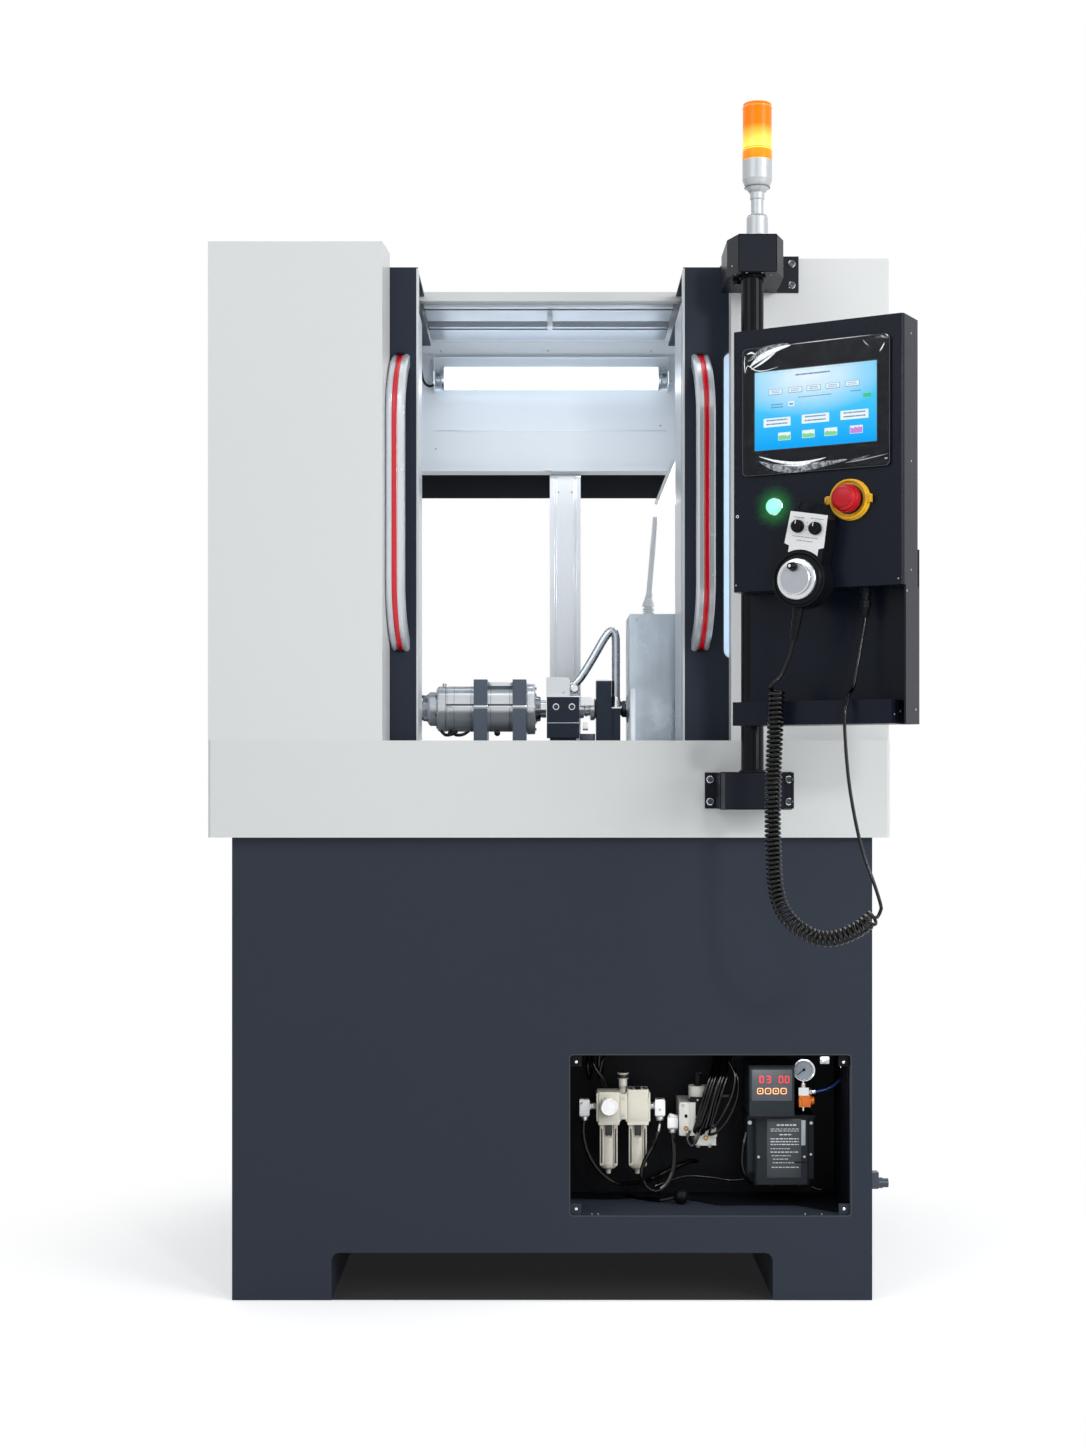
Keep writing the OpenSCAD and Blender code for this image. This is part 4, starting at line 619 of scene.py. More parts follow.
class Piece:
    """One visible piece, gathered from shapes in the millimetres of the frame that it is finished in."""

    def __init__(self):
        self.bm = bmesh.new()

    def row(self, points):
        return [self.bm.verts.new(p) for p in points]

    def face(self, verts, mat=0):
        f = self.bm.faces.new(verts)
        f.material_index = mat
        return f

    def skin(self, rows, mat=0, closed=True):
        """Faces between one row of points and the next; a row of one point is a pole."""
        for a, b in zip(rows, rows[1:]):
            n = max(len(a), len(b))
            if n == 1:
                continue
            for k in range(n if closed else n - 1):
                j = (k + 1) % n
                self.face((a[0], b[j], b[k]) if len(a) == 1 else (a[k], a[j], b[0]) if len(b) == 1
                          else (a[k], a[j], b[j], b[k]), mat)

    def rim(self, outer, inner, levels):
        """A frame between two outlines; levels are its y outside at the back and front, then inside at both."""
        rows = [self.row((x, y, z) for x, z in line) for line, y in zip((outer, outer, inner, inner), levels)]
        self.skin(rows + rows[:1])

    def plate(self, outline, y0, y1, edge=0.0, mat=0):
        """A closed plate from y0 at the front to y1; edge eases its front rim."""
        cx = sum(p[0] for p in outline) / len(outline)
        cz = sum(p[1] for p in outline) / len(outline)
        span = max(max(abs(p[0] - cx), abs(p[1] - cz)) for p in outline)
        layers = [(y1, 0.0)]
        layers += [(y0 + edge, 0.0), (y0 + edge * 0.3, edge * 0.3), (y0, edge)] if edge else [(y0, 0.0)]
        rows = []
        for y, inset in layers:
            k = 1 - inset / span
            rows.append(self.row((cx + (x - cx) * k, y, cz + (z - cz) * k) for x, z in outline))
        self.face(rows[0], mat)
        self.face(rows[-1][::-1], mat)
        self.skin(rows, mat)

    def box(self, low, high, edge=0.0, mat=0):
        """A box; edge eases all its sides."""
        v = self.row((x, y, z) for x in (low[0], high[0]) for y in (low[1], high[1]) for z in (low[2], high[2]))
        sides = ((0, 1, 3, 2), (4, 6, 7, 5), (0, 4, 5, 1), (2, 3, 7, 6), (0, 2, 6, 4), (1, 5, 7, 3))
        faces = [self.face([v[i] for i in side], mat) for side in sides]
        if edge:
            bmesh.ops.recalc_face_normals(self.bm, faces=faces)
            edges = list({e for f in faces for e in f.edges})
            made = bmesh.ops.bevel(self.bm, geom=edges, offset=edge, segments=2, profile=0.7, affect="EDGES")
            for f in made["faces"]:
                f.material_index = mat

    def lathe(self, profile, origin=(0, 0, 0), axis=UP, steps=32, scallop=None):
        """Turns (radius, distance) pairs about an axis, as a ring where neither end is on the axis.

        scallop = (count, depth, least radius) flutes the outside.
        """
        where = Matrix.Translation(origin) @ Vector(UP).rotation_difference(Vector(axis)).to_matrix().to_4x4()
        rows = []
        for r, t in profile:
            row = []
            for k in range(steps if r > 1e-6 else 1):
                a, rr = FULL_TURN * k / steps, r if r > 1e-6 else 0
                if scallop and r > scallop[2]:
                    rr = r - scallop[1] * (0.5 - 0.5 * math.cos(scallop[0] * a)) ** 2
                row.append(where @ Vector((rr * math.cos(a), rr * math.sin(a), t)))
            rows.append(self.row(row))
        if len(rows[0]) > 1 and len(rows[-1]) > 1:
            self.skin(rows + rows[:1])
            return
        self.skin(rows)
        for row in (rows[0], rows[-1]):
            if len(row) > 1:
                self.face(row)

    def loft(self, rows):
        """A closed body through rows of points."""
        rows = [self.row(row) for row in rows]
        self.face(rows[0][::-1])
        self.face(rows[-1])
        self.skin(rows)

    def tube(self, line, radius, sides=10):
        """A closed tube along a line of points."""
        pts = [Vector(p) for p in line]
        side = Vector((0.31, 0.87, 0.38))
        rows = []
        for k, p in enumerate(pts):
            t = (pts[min(k + 1, len(pts) - 1)] - pts[max(k - 1, 0)]).normalized()
            side = (side - t * side.dot(t)).normalized()
            up = t.cross(side)
            turns = [FULL_TURN * s / sides for s in range(sides)]
            rows.append([p + radius * (side * math.cos(a) + up * math.sin(a)) for a in turns])
        self.loft(rows)

    def nut(self, where, axis, across, thick):
        """A six-sided nut with eased corners."""
        r = across / 2 / math.cos(math.radians(30))
        self.lathe([(r * 0.93, 0), (r, thick * 0.14), (r, thick * 0.86), (r * 0.93, thick)], where, axis, 6)

    def mesh(self, name, place, recalc=True):
        """The shapes as one mesh with its place in it and its faces outwards."""
        if recalc:
            bmesh.ops.recalc_face_normals(self.bm, faces=self.bm.faces)
        self.bm.transform(place)
        mesh = bpy.data.meshes.new(name)
        self.bm.to_mesh(mesh)
        self.bm.free()
        return mesh

    def finish(self, name, finishes, slot, body="machine", place=FRONT, smooth=30.0, recalc=True):
        mesh = self.mesh(name, place, recalc)
        for f in [finishes] if isinstance(finishes, str) else finishes:
            mesh.materials.append(FINISH[f])
        return show(name, mesh, body, smooth)


# ------------------------------------------------------------------ repeated fittings
def geometry_tree(name, **inputs):
    """A geometry tree with named inputs, given as (kind, default)."""
    tree = bpy.data.node_groups.new(name, "GeometryNodeTree")
    for way in ("INPUT", "OUTPUT"):
        tree.interface.new_socket("Geometry", in_out=way, socket_type="NodeSocketGeometry")
    for label, (kind, value) in inputs.items():
        socket = tree.interface.new_socket(label.replace("_", " "), in_out="INPUT", socket_type="NodeSocket" + kind)
        if value is not None:
            socket.default_value = value
    return tree, tree.nodes.new("NodeGroupInput").outputs


def end_tree(tree, instances, finish):
    """Makes the instances real, sets their finish and puts them out."""
    real = node(tree, "GeometryNodeRealizeInstances", instances)
    paint = node(tree, "GeometryNodeSetMaterial", Geometry=real.outputs[0], Material=finish)
    node(tree, "NodeGroupOutput", paint.outputs[0])
    return tree


def about_z(tree, angle):
    return node(tree, "FunctionNodeAxisAngleToRotation", Axis=UP, Angle=angle).outputs[0]


def make_fitting_tree():
    """Sets one template on every point, along the point's aim, each spun by chance about its own axis."""
    t, i = geometry_tree("set_fittings", Template=("Object", None), Size=("Float", 1.0), Spin=("Float", 6.283),
                         Seed=("Int", 7), Finish=("Material", None))
    info = node(t, "GeometryNodeObjectInfo", Object=i["Template"])
    aim, size = (node(t, "GeometryNodeInputNamedAttribute", data_type=kind, Name=name).outputs["Attribute"]
                 for kind, name in (("FLOAT_VECTOR", "aim"), ("FLOAT", "size")))
    align = node(t, "FunctionNodeAlignRotationToVector", axis="Z", Vector=aim)
    chance = node(t, "FunctionNodeRandomValue", None, None, None, i["Spin"], data_type="FLOAT", Seed=i["Seed"])
    turn = node(t, "FunctionNodeRotateRotation", rotation_space="LOCAL", Rotation=align.outputs[0],
                Rotate_By=about_z(t, chance.outputs[1]))
    inst = node(t, "GeometryNodeInstanceOnPoints", Points=i["Geometry"], Instance=info.outputs["Geometry"],
                Rotation=turn.outputs[0], Scale=Num(i["Size"]) * size)
    return end_tree(t, inst.outputs[0], i["Finish"])


def make_mark_tree():
    """A ring of small raised marks, every so many of them longer, on the ground plane round the origin."""
    t, i = geometry_tree("ring_of_marks", Count=("Int", 40), Radius=("Float", 0.02), Length=("Float", 0.002),
                         Width=("Float", 0.0004), Height=("Float", 0.0002), Long_Every=("Int", 5),
                         Sweep=("Float", 6.28319), Finish=("Material", None))
    index = Num(node(t, "GeometryNodeInputIndex").outputs[0])
    angle = index / (Num(i["Count"]) - 1) * i["Sweep"]
    long_one = index.do("COMPARE", index.do("MODULO", index, i["Long Every"]), 0, 0.1)
    length = Num(i["Length"]) * (1.0 + long_one)
    middle = Num(i["Radius"]) - length * 0.5
    where = node(t, "CombineXYZ", middle * angle.do("COSINE", angle), middle * angle.do("SINE", angle))
    arc = node(t, "GeometryNodeMeshLine", mode="OFFSET", Count=i["Count"])
    put = node(t, "GeometryNodeSetPosition", Geometry=arc.outputs[0], Position=where.outputs[0])
    cube = node(t, "GeometryNodeMeshCube", Size=(1, 1, 1))
    size = node(t, "CombineXYZ", length, i["Width"], i["Height"])
    inst = node(t, "GeometryNodeInstanceOnPoints", Points=put.outputs[0], Instance=cube.outputs[0],
                Rotation=about_z(t, angle), Scale=size.outputs[0])
    return end_tree(t, inst.outputs[0], i["Finish"])


FITTINGS = make_fitting_tree()
MARKS = make_mark_tree()


def grow(name, tree, points, inputs, slot, body, place=None, smooth=30.0, **attributes):
    """Runs a geometry tree on points once and keeps the result as a plain piece that rides on a body."""
    mesh = bpy.data.meshes.new(name)
    mesh.from_pydata(points, [], [])
    for label, values in attributes.items():
        vector = isinstance(values[0], Vector)
        data = mesh.attributes.new(label, "FLOAT_VECTOR" if vector else "FLOAT", "POINT").data
        for item, value in zip(data, values):
            setattr(item, "vector" if vector else "value", value)
    seed_obj = new_object(name + "_seed", mesh)
    mod = seed_obj.modifiers.new("grow", "NODES")
    mod.node_group = tree
    for item in tree.interface.items_tree:
        if item.item_type == "SOCKET" and item.in_out == "INPUT" and item.name in inputs:
            mod[item.identifier] = inputs[item.name]
    bpy.context.view_layer.update()
    deps = bpy.context.evaluated_depsgraph_get()
    result = bpy.data.meshes.new_from_object(seed_obj.evaluated_get(deps))
    bpy.data.objects.remove(seed_obj)
    if place is not None:
        result.transform(place)
    result.name = name
    return show(name, result, body, smooth)


def socket_screw(head=10.0, high=4.0, key=5.0, sides=24):
    """Head of a cap screw with its hex socket, pointing up from the origin."""
    p = Piece()
    r, face = head / 2, math.pi / 3
    rows = [[] for _ in range(6)]
    for k in range(sides):
        a = FULL_TURN * k / sides
        flat = key / 2 / math.cos((a + face / 2) % face - face / 2)
        for row, (rad, z) in zip(rows, ((r, 0), (r, high * 0.86), (r * 0.93, high), (flat * 1.1, high),
                                        (flat, high * 0.93), (flat, high * 0.4))):
            row += p.row([(rad * math.cos(a), rad * math.sin(a), z)])
    p.skin(rows)
    p.face(rows[0])
    p.face(rows[-1])
    return p


def button_screw(head=8.0, high=2.2):
    """Domed head with a cross recess."""
    p = Piece()
    p.lathe([(head / 2, 0), (head / 2, high * 0.25), (head * 0.42, high * 0.7), (head * 0.28, high * 0.95),
             (head * 0.15, high), (head * 0.12, high * 0.6), (0, high * 0.5)], steps=20)
    return p


def template(name, piece):
    obj = new_object(name, piece.mesh(name, Matrix.Scale(MM, 4)))
    obj.hide_render = True
    return obj


SCREW = template("cap_screw_template", socket_screw())
DOME = template("dome_screw_template", button_screw())


def screws(name, places, kind=SCREW, finish="plain_steel", slot="steel", body="machine", place=FRONT):
    """Screws at (point, aim, size) places, given in a frame's own millimetres."""
    turn = place.to_3x3().normalized()
    return grow(name, FITTINGS, [place @ Vector(p[0]) for p in places],
                {"Template": kind, "Size": 1.0, "Spin": 6.283, "Seed": 11, "Finish": FINISH[finish]}, slot, body,
                aim=[turn @ Vector(p[1]) for p in places], size=[p[2] for p in places])


def ring_of_marks(name, finish, slot, body, place, **sizes):
    """A ring of marks; sizes are the tree's inputs in metres, and place puts the ring's plane in place."""
    values = {k.replace("_", " "): v for k, v in sizes.items()}
    return grow(name, MARKS, [(0, 0, 0)], {**values, "Finish": FINISH[finish]}, slot, body, place, smooth=0)




# ------------------------------------------------------------------ doors: strips, seals, gaskets
HANDLE_Z = 1390
BOW = 65.0                        # how far the handle stands off the door
BOW_R = 138.6                     # radius of each bent end
BOW_STRAIGHT = 287.1              # length between the bends
BOW_REACH = math.acos(1 - BOW / BOW_R)
DOOR_Y = 89.0
SIDES = (("left", -261.0, -6.0, 1), ("right", 267.0, 6.0, -1))


def bow_line(radius, steps=14):
    """The bow's line in the handle's own plane: (y, z, outward y, outward z)."""
    centre = BOW_R - BOW
    out = []
    for k in range(steps, -1, -1):
        a = BOW_REACH * k / steps
        out.append((centre - radius * math.cos(a), BOW_STRAIGHT / 2 + radius * math.sin(a), -math.cos(a),
                    math.sin(a)))
    for k in range(1, 6):
        out.append((centre - radius, BOW_STRAIGHT * (0.5 - k / 6), -1.0, 0.0))
    for k in range(steps + 1):
        a = BOW_REACH * k / steps
        out.append((centre - radius * math.cos(a), -BOW_STRAIGHT / 2 - radius * math.sin(a), -math.cos(a),
                    -math.sin(a)))
    return out


def sweep(p, section, line):
    """Sweeps a section of (across, outward) pairs along the bow."""
    p.loft([[(u, y + v * ny, z + v * nz) for u, v in section] for y, z, ny, nz in line])


def make_handle_trim():
    for side, x, turn, _ in SIDES:
        place = FRONT @ shift(x, DOOR_Y, HANDLE_Z) @ spin(turn, "Z")
        p = Piece()
        half = 5.1
        section = [(-half, 0.2), (half, 0.2), (half, 3.2), (half * 0.9, 3.7), (half * 0.4, 3.9), (-half * 0.4, 3.9),
                   (-half * 0.9, 3.7), (-half, 3.2)]
        sweep(p, section, bow_line(BOW_R - 2.5))
        p.finish(side + "_handle_strip", "strip_red", "red", side + "_door", place, smooth=50)
        p = Piece()
        for s in (-1, 1):
            u = s * 5.75
            edge = [(u - 0.45, 0.1), (u + 0.45, 0.1), (u + 0.45, 2.75), (u + 0.2, 3.0), (u - 0.2, 3.0),
                    (u - 0.45, 2.75)]
            sweep(p, edge, bow_line(BOW_R - 2.5))
        p.finish(side + "_handle_edges", "chrome", "handle_metal", side + "_door", place)
        p = Piece()
        for s in (-1, 1):
            z = s * (BOW_STRAIGHT / 2 + BOW_R * math.sin(BOW_REACH) + 0.4)
            p.plate(rounded(0, z, 15, 3.2, 1.2), -11, -1.2, 0.6)
        p.finish(side + "_handle_plugs", "black_plastic", "black_plastic", side + "_door", place)


def make_door_seals():
    """Pale sealing profile on each leading edge, whose pale colour is also a painted highlight for the bright line
    of light along that edge, and black gasket round each window.
    """
    for side, x, turn, s in SIDES:
        lead = x + s * 30
        p = Piece()
        low, high = 952, 1803
        a, b = sorted((lead - s * 2.6, lead + s * 0.35))
        p.box((a, DOOR_Y - 0.9, low), (b, DOOR_Y + 35.6, high), 0.4)
        a, b = sorted((lead + s * 0.1, lead + s * 0.47))
        p.box((a, DOOR_Y + 8, low + 2), (b, DOOR_Y + 14, high - 2), 0.1)
        p.box((a, DOOR_Y + 20, low + 2), (b, DOOR_Y + 26, high - 2), 0.1)
        p.finish(side + "_edge_seal", "seal_grey", "aluminium", side + "_door")
        cx = x - s * 158
        p = Piece()
        front, back = DOOR_Y - 0.6, DOOR_Y + 14
        p.rim(rounded(cx, 1386, 240, 548, 18), rounded(cx, 1386, 233, 541, 14.5), (back, front, front, back))
        p.finish(side + "_gasket", "seal_black", "black_plastic", side + "_door")


make_handle_trim()
make_door_seals()


# ------------------------------------------------------------------ ceiling, header and lamps
def make_ceiling():
    channel_y = (324, 494)
    low = 1811 - 17 - 14 + 8
    places = []
    for x in (-199, -45, 95, 126):
        places.append(((x, channel_y[0], low + 14), FORWARD, 0.42))
    for x in (-215, -120, 60, 170, 225):
        places.append(((x, channel_y[1], low + 15), FORWARD, 0.38))
    for x, z in ((-232, 1586), (233, 1635), (-222, 1790), (214, 1790), (0, 1790)):
        places.append(((x, 725 if z < 1625 else 729, z), FORWARD, 0.55))
    screws("ceiling_screws", places, DOME)
    p = Piece()
    p.box((-1.5, 458, low - 15), (7.5, 462, low - 0.5), 0.8)
    p.box((-1.5, 446, low - 17), (7.5, 462, low - 14.5), 0.8)
    p.box((-6, 700, 1538), (6, 711.5, 1541), 0.6)
    p.plate(rounded(3, low - 17, 9.4, 11, 1.5), 382, 383.9, 0.4)
    p.finish("ceiling_tabs", "knob_white", "cover_paint")
    p = Piece()
    for y in channel_y:
        for s in (-1, 1):
            x = s * 233.4
            p.box((min(x, x + s * 1.6), y + 7, low + 1), (max(x, x + s * 1.6), y + 111, low + 17), 0.5)
    p.finish("channel_ends", "seal_black", "black_plastic")
    # A slim ridge along the header's fold, a little darker than the header: painted shade marking the fold.
    p = Piece()
    p.box((-233, 724.1, 1623.4), (246, 725.4, 1624.6), 0.2)
    p.finish("header_fold", "aluminium", "aluminium")


def make_tube_lamp():
    """End caps, clips and the folded tray behind the long lamp."""
    y, z, r = 689, 1725, 23
    p = Piece()
    for x0, s in ((-212.4, -1), (225.4, 1)):
        p.lathe([(r + 1.1, 0), (r + 1.1, 5), (r - 2, 8), (r - 2.6, 17), (r - 6, 20), (0, 20.5)], (x0, y, z),
                (s, 0, 0), 36)
        p.lathe([(3.6, 19), (3.6, 26), (2.4, 27.5), (0, 27.5)], (x0, y, z - 8), (s, 0, 0), 14)
    p.finish("lamp_ends", "plain_steel", "aluminium")
    p = Piece()
    for x in (-150, 160):
        p.tube([(x, y + (r + 1.2) * math.cos(a), z + (r + 1.2) * math.sin(a))
                for a in (math.radians(d) for d in range(-110, 111, 10))], 1.2, 8)
    p.finish("lamp_clips", "chrome", "steel")
    p = Piece()
    for s, x in ((-1, -234), (1, 247)):
        a, b = sorted((x, x + s * 1.6))
        p.box((a, 700, 1703), (b, 729, 1773), 0.4)
    p.box((-235, 713, 1772), (248, 729, 1774), 0.5)
    p.box((-234.6, 713.4, 1710.2), (247.6, 714.8, 1771.8), 0.3)
    p.box((-234.6, 714.0, 1709.8), (247.6, 724.5, 1710.8), 0.3)
    p.finish("lamp_tray_edges", "inner_white", "aluminium")
    screws("lamp_tray_screws", [((x, 715, z), FORWARD, 0.5) for z in (1760, 1715) for x in (-226, 239)], DOME)
    p = Piece()
    line = catmull([(-232, 700, 1716), (-244, 704, 1712), (-256, 708, 1722), (-262, 716, 1750), (-266, 722, 1790)],
                   6)
    p.tube(line, 2.6, 10)
    p.finish("lamp_cable", "hose_black", "cord_black")


def make_post_details():
    screws("post_screws", [((x, 750, z), FORWARD, 0.6) for z in (1500, 890) for x in (22, 50)], DOME)
    p = Piece()
    for x in (16, 56):
        for s in (-1, 1):
            p.box((x + s * 2.2 - 0.5, 749.4, 852), (x + s * 2.2 + 0.5, 750.6, 1534), 0.2)
    p.box((4.6, 749.5, 1530), (67.4, 751, 1537.4), 0.4)
    p.finish("post_trim", "bright_steel", "aluminium")


make_ceiling()
make_tube_lamp()
make_post_details()


# ------------------------------------------------------------------ spindle, steady, rest and work head
AXIS_Y, AXIS_Z = 430.0, 1038.0


def make_spindle_details():
    """Ground strip along the split, clamp screws, pale bridge, plugs and cables of the motor spindle."""
    p = Piece()
    z0, z1 = AXIS_Z + 0.6, AXIS_Z + 4.6
    for a, b, y in ((-195, -142.4, 385.4), (-115.6, -68.4, 385.4), (-142.2, -115.8, 367.4), (-68.2, -41.8, 367.4)):
        p.box((a, y, z0), (b, y + 3, z1), 0.5)
    p.box((-41, 380.5, z0), (-25.5, 383, z1), 0.5)
    p.box((-115.8, 404.6, AXIS_Z + 43), (-68.2, 455.4, AXIS_Z + 50.8), 1.2)
    p.finish("spindle_strip", "bright_steel", "steel", "grinding_slide")
    p = Piece()
    for a, b, y in ((-195, -142.4, 385.8), (-115.6, -68.4, 385.8)):
        p.box((a, y, AXIS_Z + 4.8), (b, y + 2, AXIS_Z + 8.0), 0.3)
    for x, r in ((-196.5, 44.15), (-180, 44.15), (-148, 44.15), (-110, 44.15), (-74, 44.15)):
        p.lathe([(r - 2, -0.35), (r + 0.05, -0.35), (r + 0.05, 0.35), (r - 2, 0.35)], (x, AXIS_Y, AXIS_Z), RIGHT,
                56)
    p.finish("spindle_lines", "oxide_black", "black_oxide", "grinding_slide")
    places = []
    for x in (-129, -55):
        for y in (AXIS_Y - 56, AXIS_Y + 56):
            places.append(((x, y, AXIS_Z + 50), UP, 0.9))
    for k in range(6):
        a = math.radians(60 * k + 20)
        places.append(((-24.8, AXIS_Y + 40 * math.cos(a), AXIS_Z + 40 * math.sin(a)), RIGHT, 0.5))
        places.append(((-213.2, AXIS_Y + 36 * math.cos(a), AXIS_Z + 36 * math.sin(a)), LEFT, 0.55))
    screws("clamp_screws", places, SCREW, "oxide_black", "black_oxide", "grinding_slide")
    p = Piece()
    for x, y, r in ((-98, 398, 6), (-188, 404, 5)):
        p.lathe([(r, 0), (r, 9), (r * 0.8, 11), (r * 0.5, 11.5), (0, 11.5)], (x, y + 14, 991), FORWARD, 20)
    for pts in (
        [(-236, 420, 1058), (-243, 417, 1061), (-248, 418, 1055), (-249.5, 430, 1036), (-249.5, 445, 1002),
         (-249.5, 452, 930)],
        [(-236, 424, 1020), (-243, 421, 1019), (-248, 420, 1010), (-249.5, 424, 984), (-249.5, 430, 930)],
        [(-204, 392, 994), (-196, 384, 987), (-184, 382, 988), (-174, 386, 994)],
        [(-186, 390, 995), (-176, 384, 987), (-162, 384, 988), (-152, 390, 995)],
    ):
        p.tube(catmull(pts, 6), 3.1, 10)
    p.finish("spindle_cables", "hose_black", "cord_black", "grinding_slide")
    p = Piece()
    p.lathe([(7.5, 0), (7.5, 5), (6, 6), (6, 12), (4.5, 13), (0, 13)], (-228, 420, 1058), LEFT, 20)
    p.lathe([(7.5, 0), (7.5, 5), (6, 6), (6, 12), (4.5, 13), (0, 13)], (-228, 424, 1020), LEFT, 20)
    p.lathe([(4, 0), (4, 4), (2.5, 6), (0, 6)], (-200, 430, AXIS_Z + 43), UP, 16)
    p.finish("spindle_plugs", "chrome", "steel", "grinding_slide")


def make_steady_details():
    p = Piece()
    for x in (14.5, 45):
        p.lathe([(4.2, -0.6), (6.6, -0.6), (6.6, 0.5), (5.9, 1.0), (4.6, 1.0), (4.2, 0.3)], (x, 397.8, 1041),
                FORWARD, 28)
    p.lathe([(0, 0), (8.6, 0), (8.6, 4), (6.5, 6), (0, 6.4)], (50, 404, 1076), FORWARD, 28)
    p.lathe([(6.4, 5.6), (7.9, 6.2), (7.9, 8.4), (6.4, 9)], (50, 404, 1076), FORWARD, 28)
    p.finish("steady_rings", "chrome", "steel")
    screws("steady_screws", [((x, 401, 1041), FORWARD, 0.72) for x in (14.5, 45)], SCREW, "oxide_black",
           "black_oxide")
    screws("steady_small_screws", [((29, 403.9, 1068.5), FORWARD, 0.5)], DOME)
    p = Piece()
    p.box((-2.4, 397.3, 1009.6), (58.4, 399, 1010.8), 0.3)
    p.box((91.6, 399.4, 1090.4), (121.4, 460.4, 1093), 0.6)
    p.box((-3.4, 397.6, 1059.6), (59.4, 458.4, 1061.6), 0.5)
    p.box((120.6, 405.6, 1038), (138.4, 454.4, 1040.8), 0.5)
    p.finish("steady_edges", "bright_steel", "steel")
    p = Piece()
    p.lathe([(8.2, 0), (12, 0), (12, 5), (10.6, 7), (10.6, 11), (8.8, 14), (8.2, 20), (8.0, 20)],
            (130, AXIS_Y - 4, 1040.8), UP, 28)
    p.lathe([(5, 0), (13, 0), (13, 5), (9, 8), (9, 13), (5, 14)], (59.4, AXIS_Y, AXIS_Z), RIGHT, 32)
    p.box((62, 402, 1043), (88, 408, 1060), 1.0)
    p.box((66, 404, 996), (76, 410, 1012), 1.2)
    p.finish("nozzle_fittings", "chrome", "steel")
    p = Piece()
    p.lathe([(0, 0), (3.4, 0), (3.4, 3), (2.2, 4), (0, 4)], (72.5, 404, 1026), FORWARD, 18)
    p.box((61, 420, 962), (90, 440, 990), 1.5)
    p.finish("nozzle_screw", "oxide_black", "black_oxide")


def make_head_details():
    p = Piece()
    p.plate(rounded(159.5, 983, 10, 182, 4), 338.2, 340.2, 0.8)
    for z in (1213.2, 893):
        p.box((154, 339.2, z - 1.2), (292, 340.4, z + 0.2), 0.3)
    p.lathe([(22.5, 0), (27, 0), (27, 1.6), (22.5, 2.4)], (152.9, AXIS_Y, AXIS_Z), LEFT, 40)
    p.finish("cover_seam", "aluminium", "aluminium", "work_slide")
    p = Piece()
    rng = random.Random(17)
    for _ in range(22):
        x, z = rng.uniform(176, 280), rng.uniform(985, 1110)
        run, lean = rng.uniform(3, 13), rng.uniform(-1.2, 0.9)
        p.tube([(x, 340.0, z), (x + run * math.cos(lean), 340.0, z + run * math.sin(lean))], 0.22, 6)
    p.finish("cover_scratches", "spindle_satin", "aluminium", "work_slide")
    places = [((x, 340, z), FORWARD, 0.5) for x in (166, 281) for z in (1204, 905)]
    places += [((x, y, 1214), UP, 0.5) for x in (163, 283) for y in (352, 508)]
    screws("cover_screws", places, DOME, body="work_slide")
    p = Piece()
    x, y = 192, 418
    for z in (1217, 1221, 1225.5, 1229.5):
        p.lathe([(7, -1.2), (10.6, -1.2), (11, 0), (10.6, 1.2), (7, 1.2)], (x, y, z), UP, 28)
    p.lathe([(6, 0), (11.4, 0), (11.4, 4), (9.2, 10), (7.2, 13), (7.2, 18), (5.5, 19)], (x, y, 1234), UP, 6)
    p.lathe([(5.2, 0), (6.4, 0), (6.4, 5), (5.2, 6)], (x + 1.2, y, 1253), (0.075, 0, 1), 20)
    p.finish("mist_fitting", "knob_white", "knob_white", "work_slide")
    p = Piece()
    p.lathe([(16.1, 8), (17.2, 9.5), (17.2, 10.5), (16.1, 12)], (140, AXIS_Y, AXIS_Z), RIGHT, 40)
    p.lathe([(4.2, 1.5), (12.4, -0.8), (12.8, 0.6), (4.2, 2.2)], (140, AXIS_Y, AXIS_Z), RIGHT, 40)
    p.finish("nose_rings", "chrome", "steel", "work_spindle")


def make_flood_lamp():
    """Frame, fins, knobs and cable of the tilting work lamp."""
    place = FRONT @ shift(286, 500, 1462) @ spin(22, "Y") @ shift(-14, 0, 0) @ spin(-90, "Y")
    p = Piece()
    outer, inner = rounded(0, 0, 84, 80, 5), rounded(0, 0, 71, 67, 3)
    rows = [p.row((x, y, z) for x, y in line)
            for line, z in ((outer, 44.5), (outer, 50.6), (inner, 51.4), (inner, 49.0))]
    p.skin(rows + rows[:1])
    p.finish("flood_frame", "knob_white", "lamp_white", "work_lamp", place)
    p = Piece()
    for k in range(7):
        y = -24 + 8 * k
        p.box((-30, y - 0.8, 30), (30, y + 0.8, 41), 0.3)
    p.finish("flood_fins", "knob_white", "lamp_white", "work_lamp", place)
    p = Piece()
    for s in (-1, 1):
        p.lathe([(7, 0), (8, 1.5), (8, 6), (6.5, 7.5), (0, 7.5)], (286, 500 + s * 21.3, 1462), (0, s, 0), 24,
                scallop=(10, 1.2, 7.5))
    p.finish("flood_knobs", "knob_black", "black_plastic")
    p = Piece()
    p.tube(catmull([(297, 510, 1448), (290, 512, 1440), (288, 514, 1420), (292, 520, 1390), (296, 530, 1350),
                    (297, 540, 1200), (297, 545, 1000)], 6), 2.8, 10)
    p.finish("flood_cable", "hose_black", "cord_black")


make_spindle_details()
make_steady_details()
make_head_details()
make_flood_lamp()


# ------------------------------------------------------------------ screen, film, buttons and pendant
RIBBON = ((-1, 0.05), (-0.45, 0.7), (0.1, 1.0), (0.6, 0.6), (1, 0.05), (0.3, 0.0), (-0.3, 0.0))


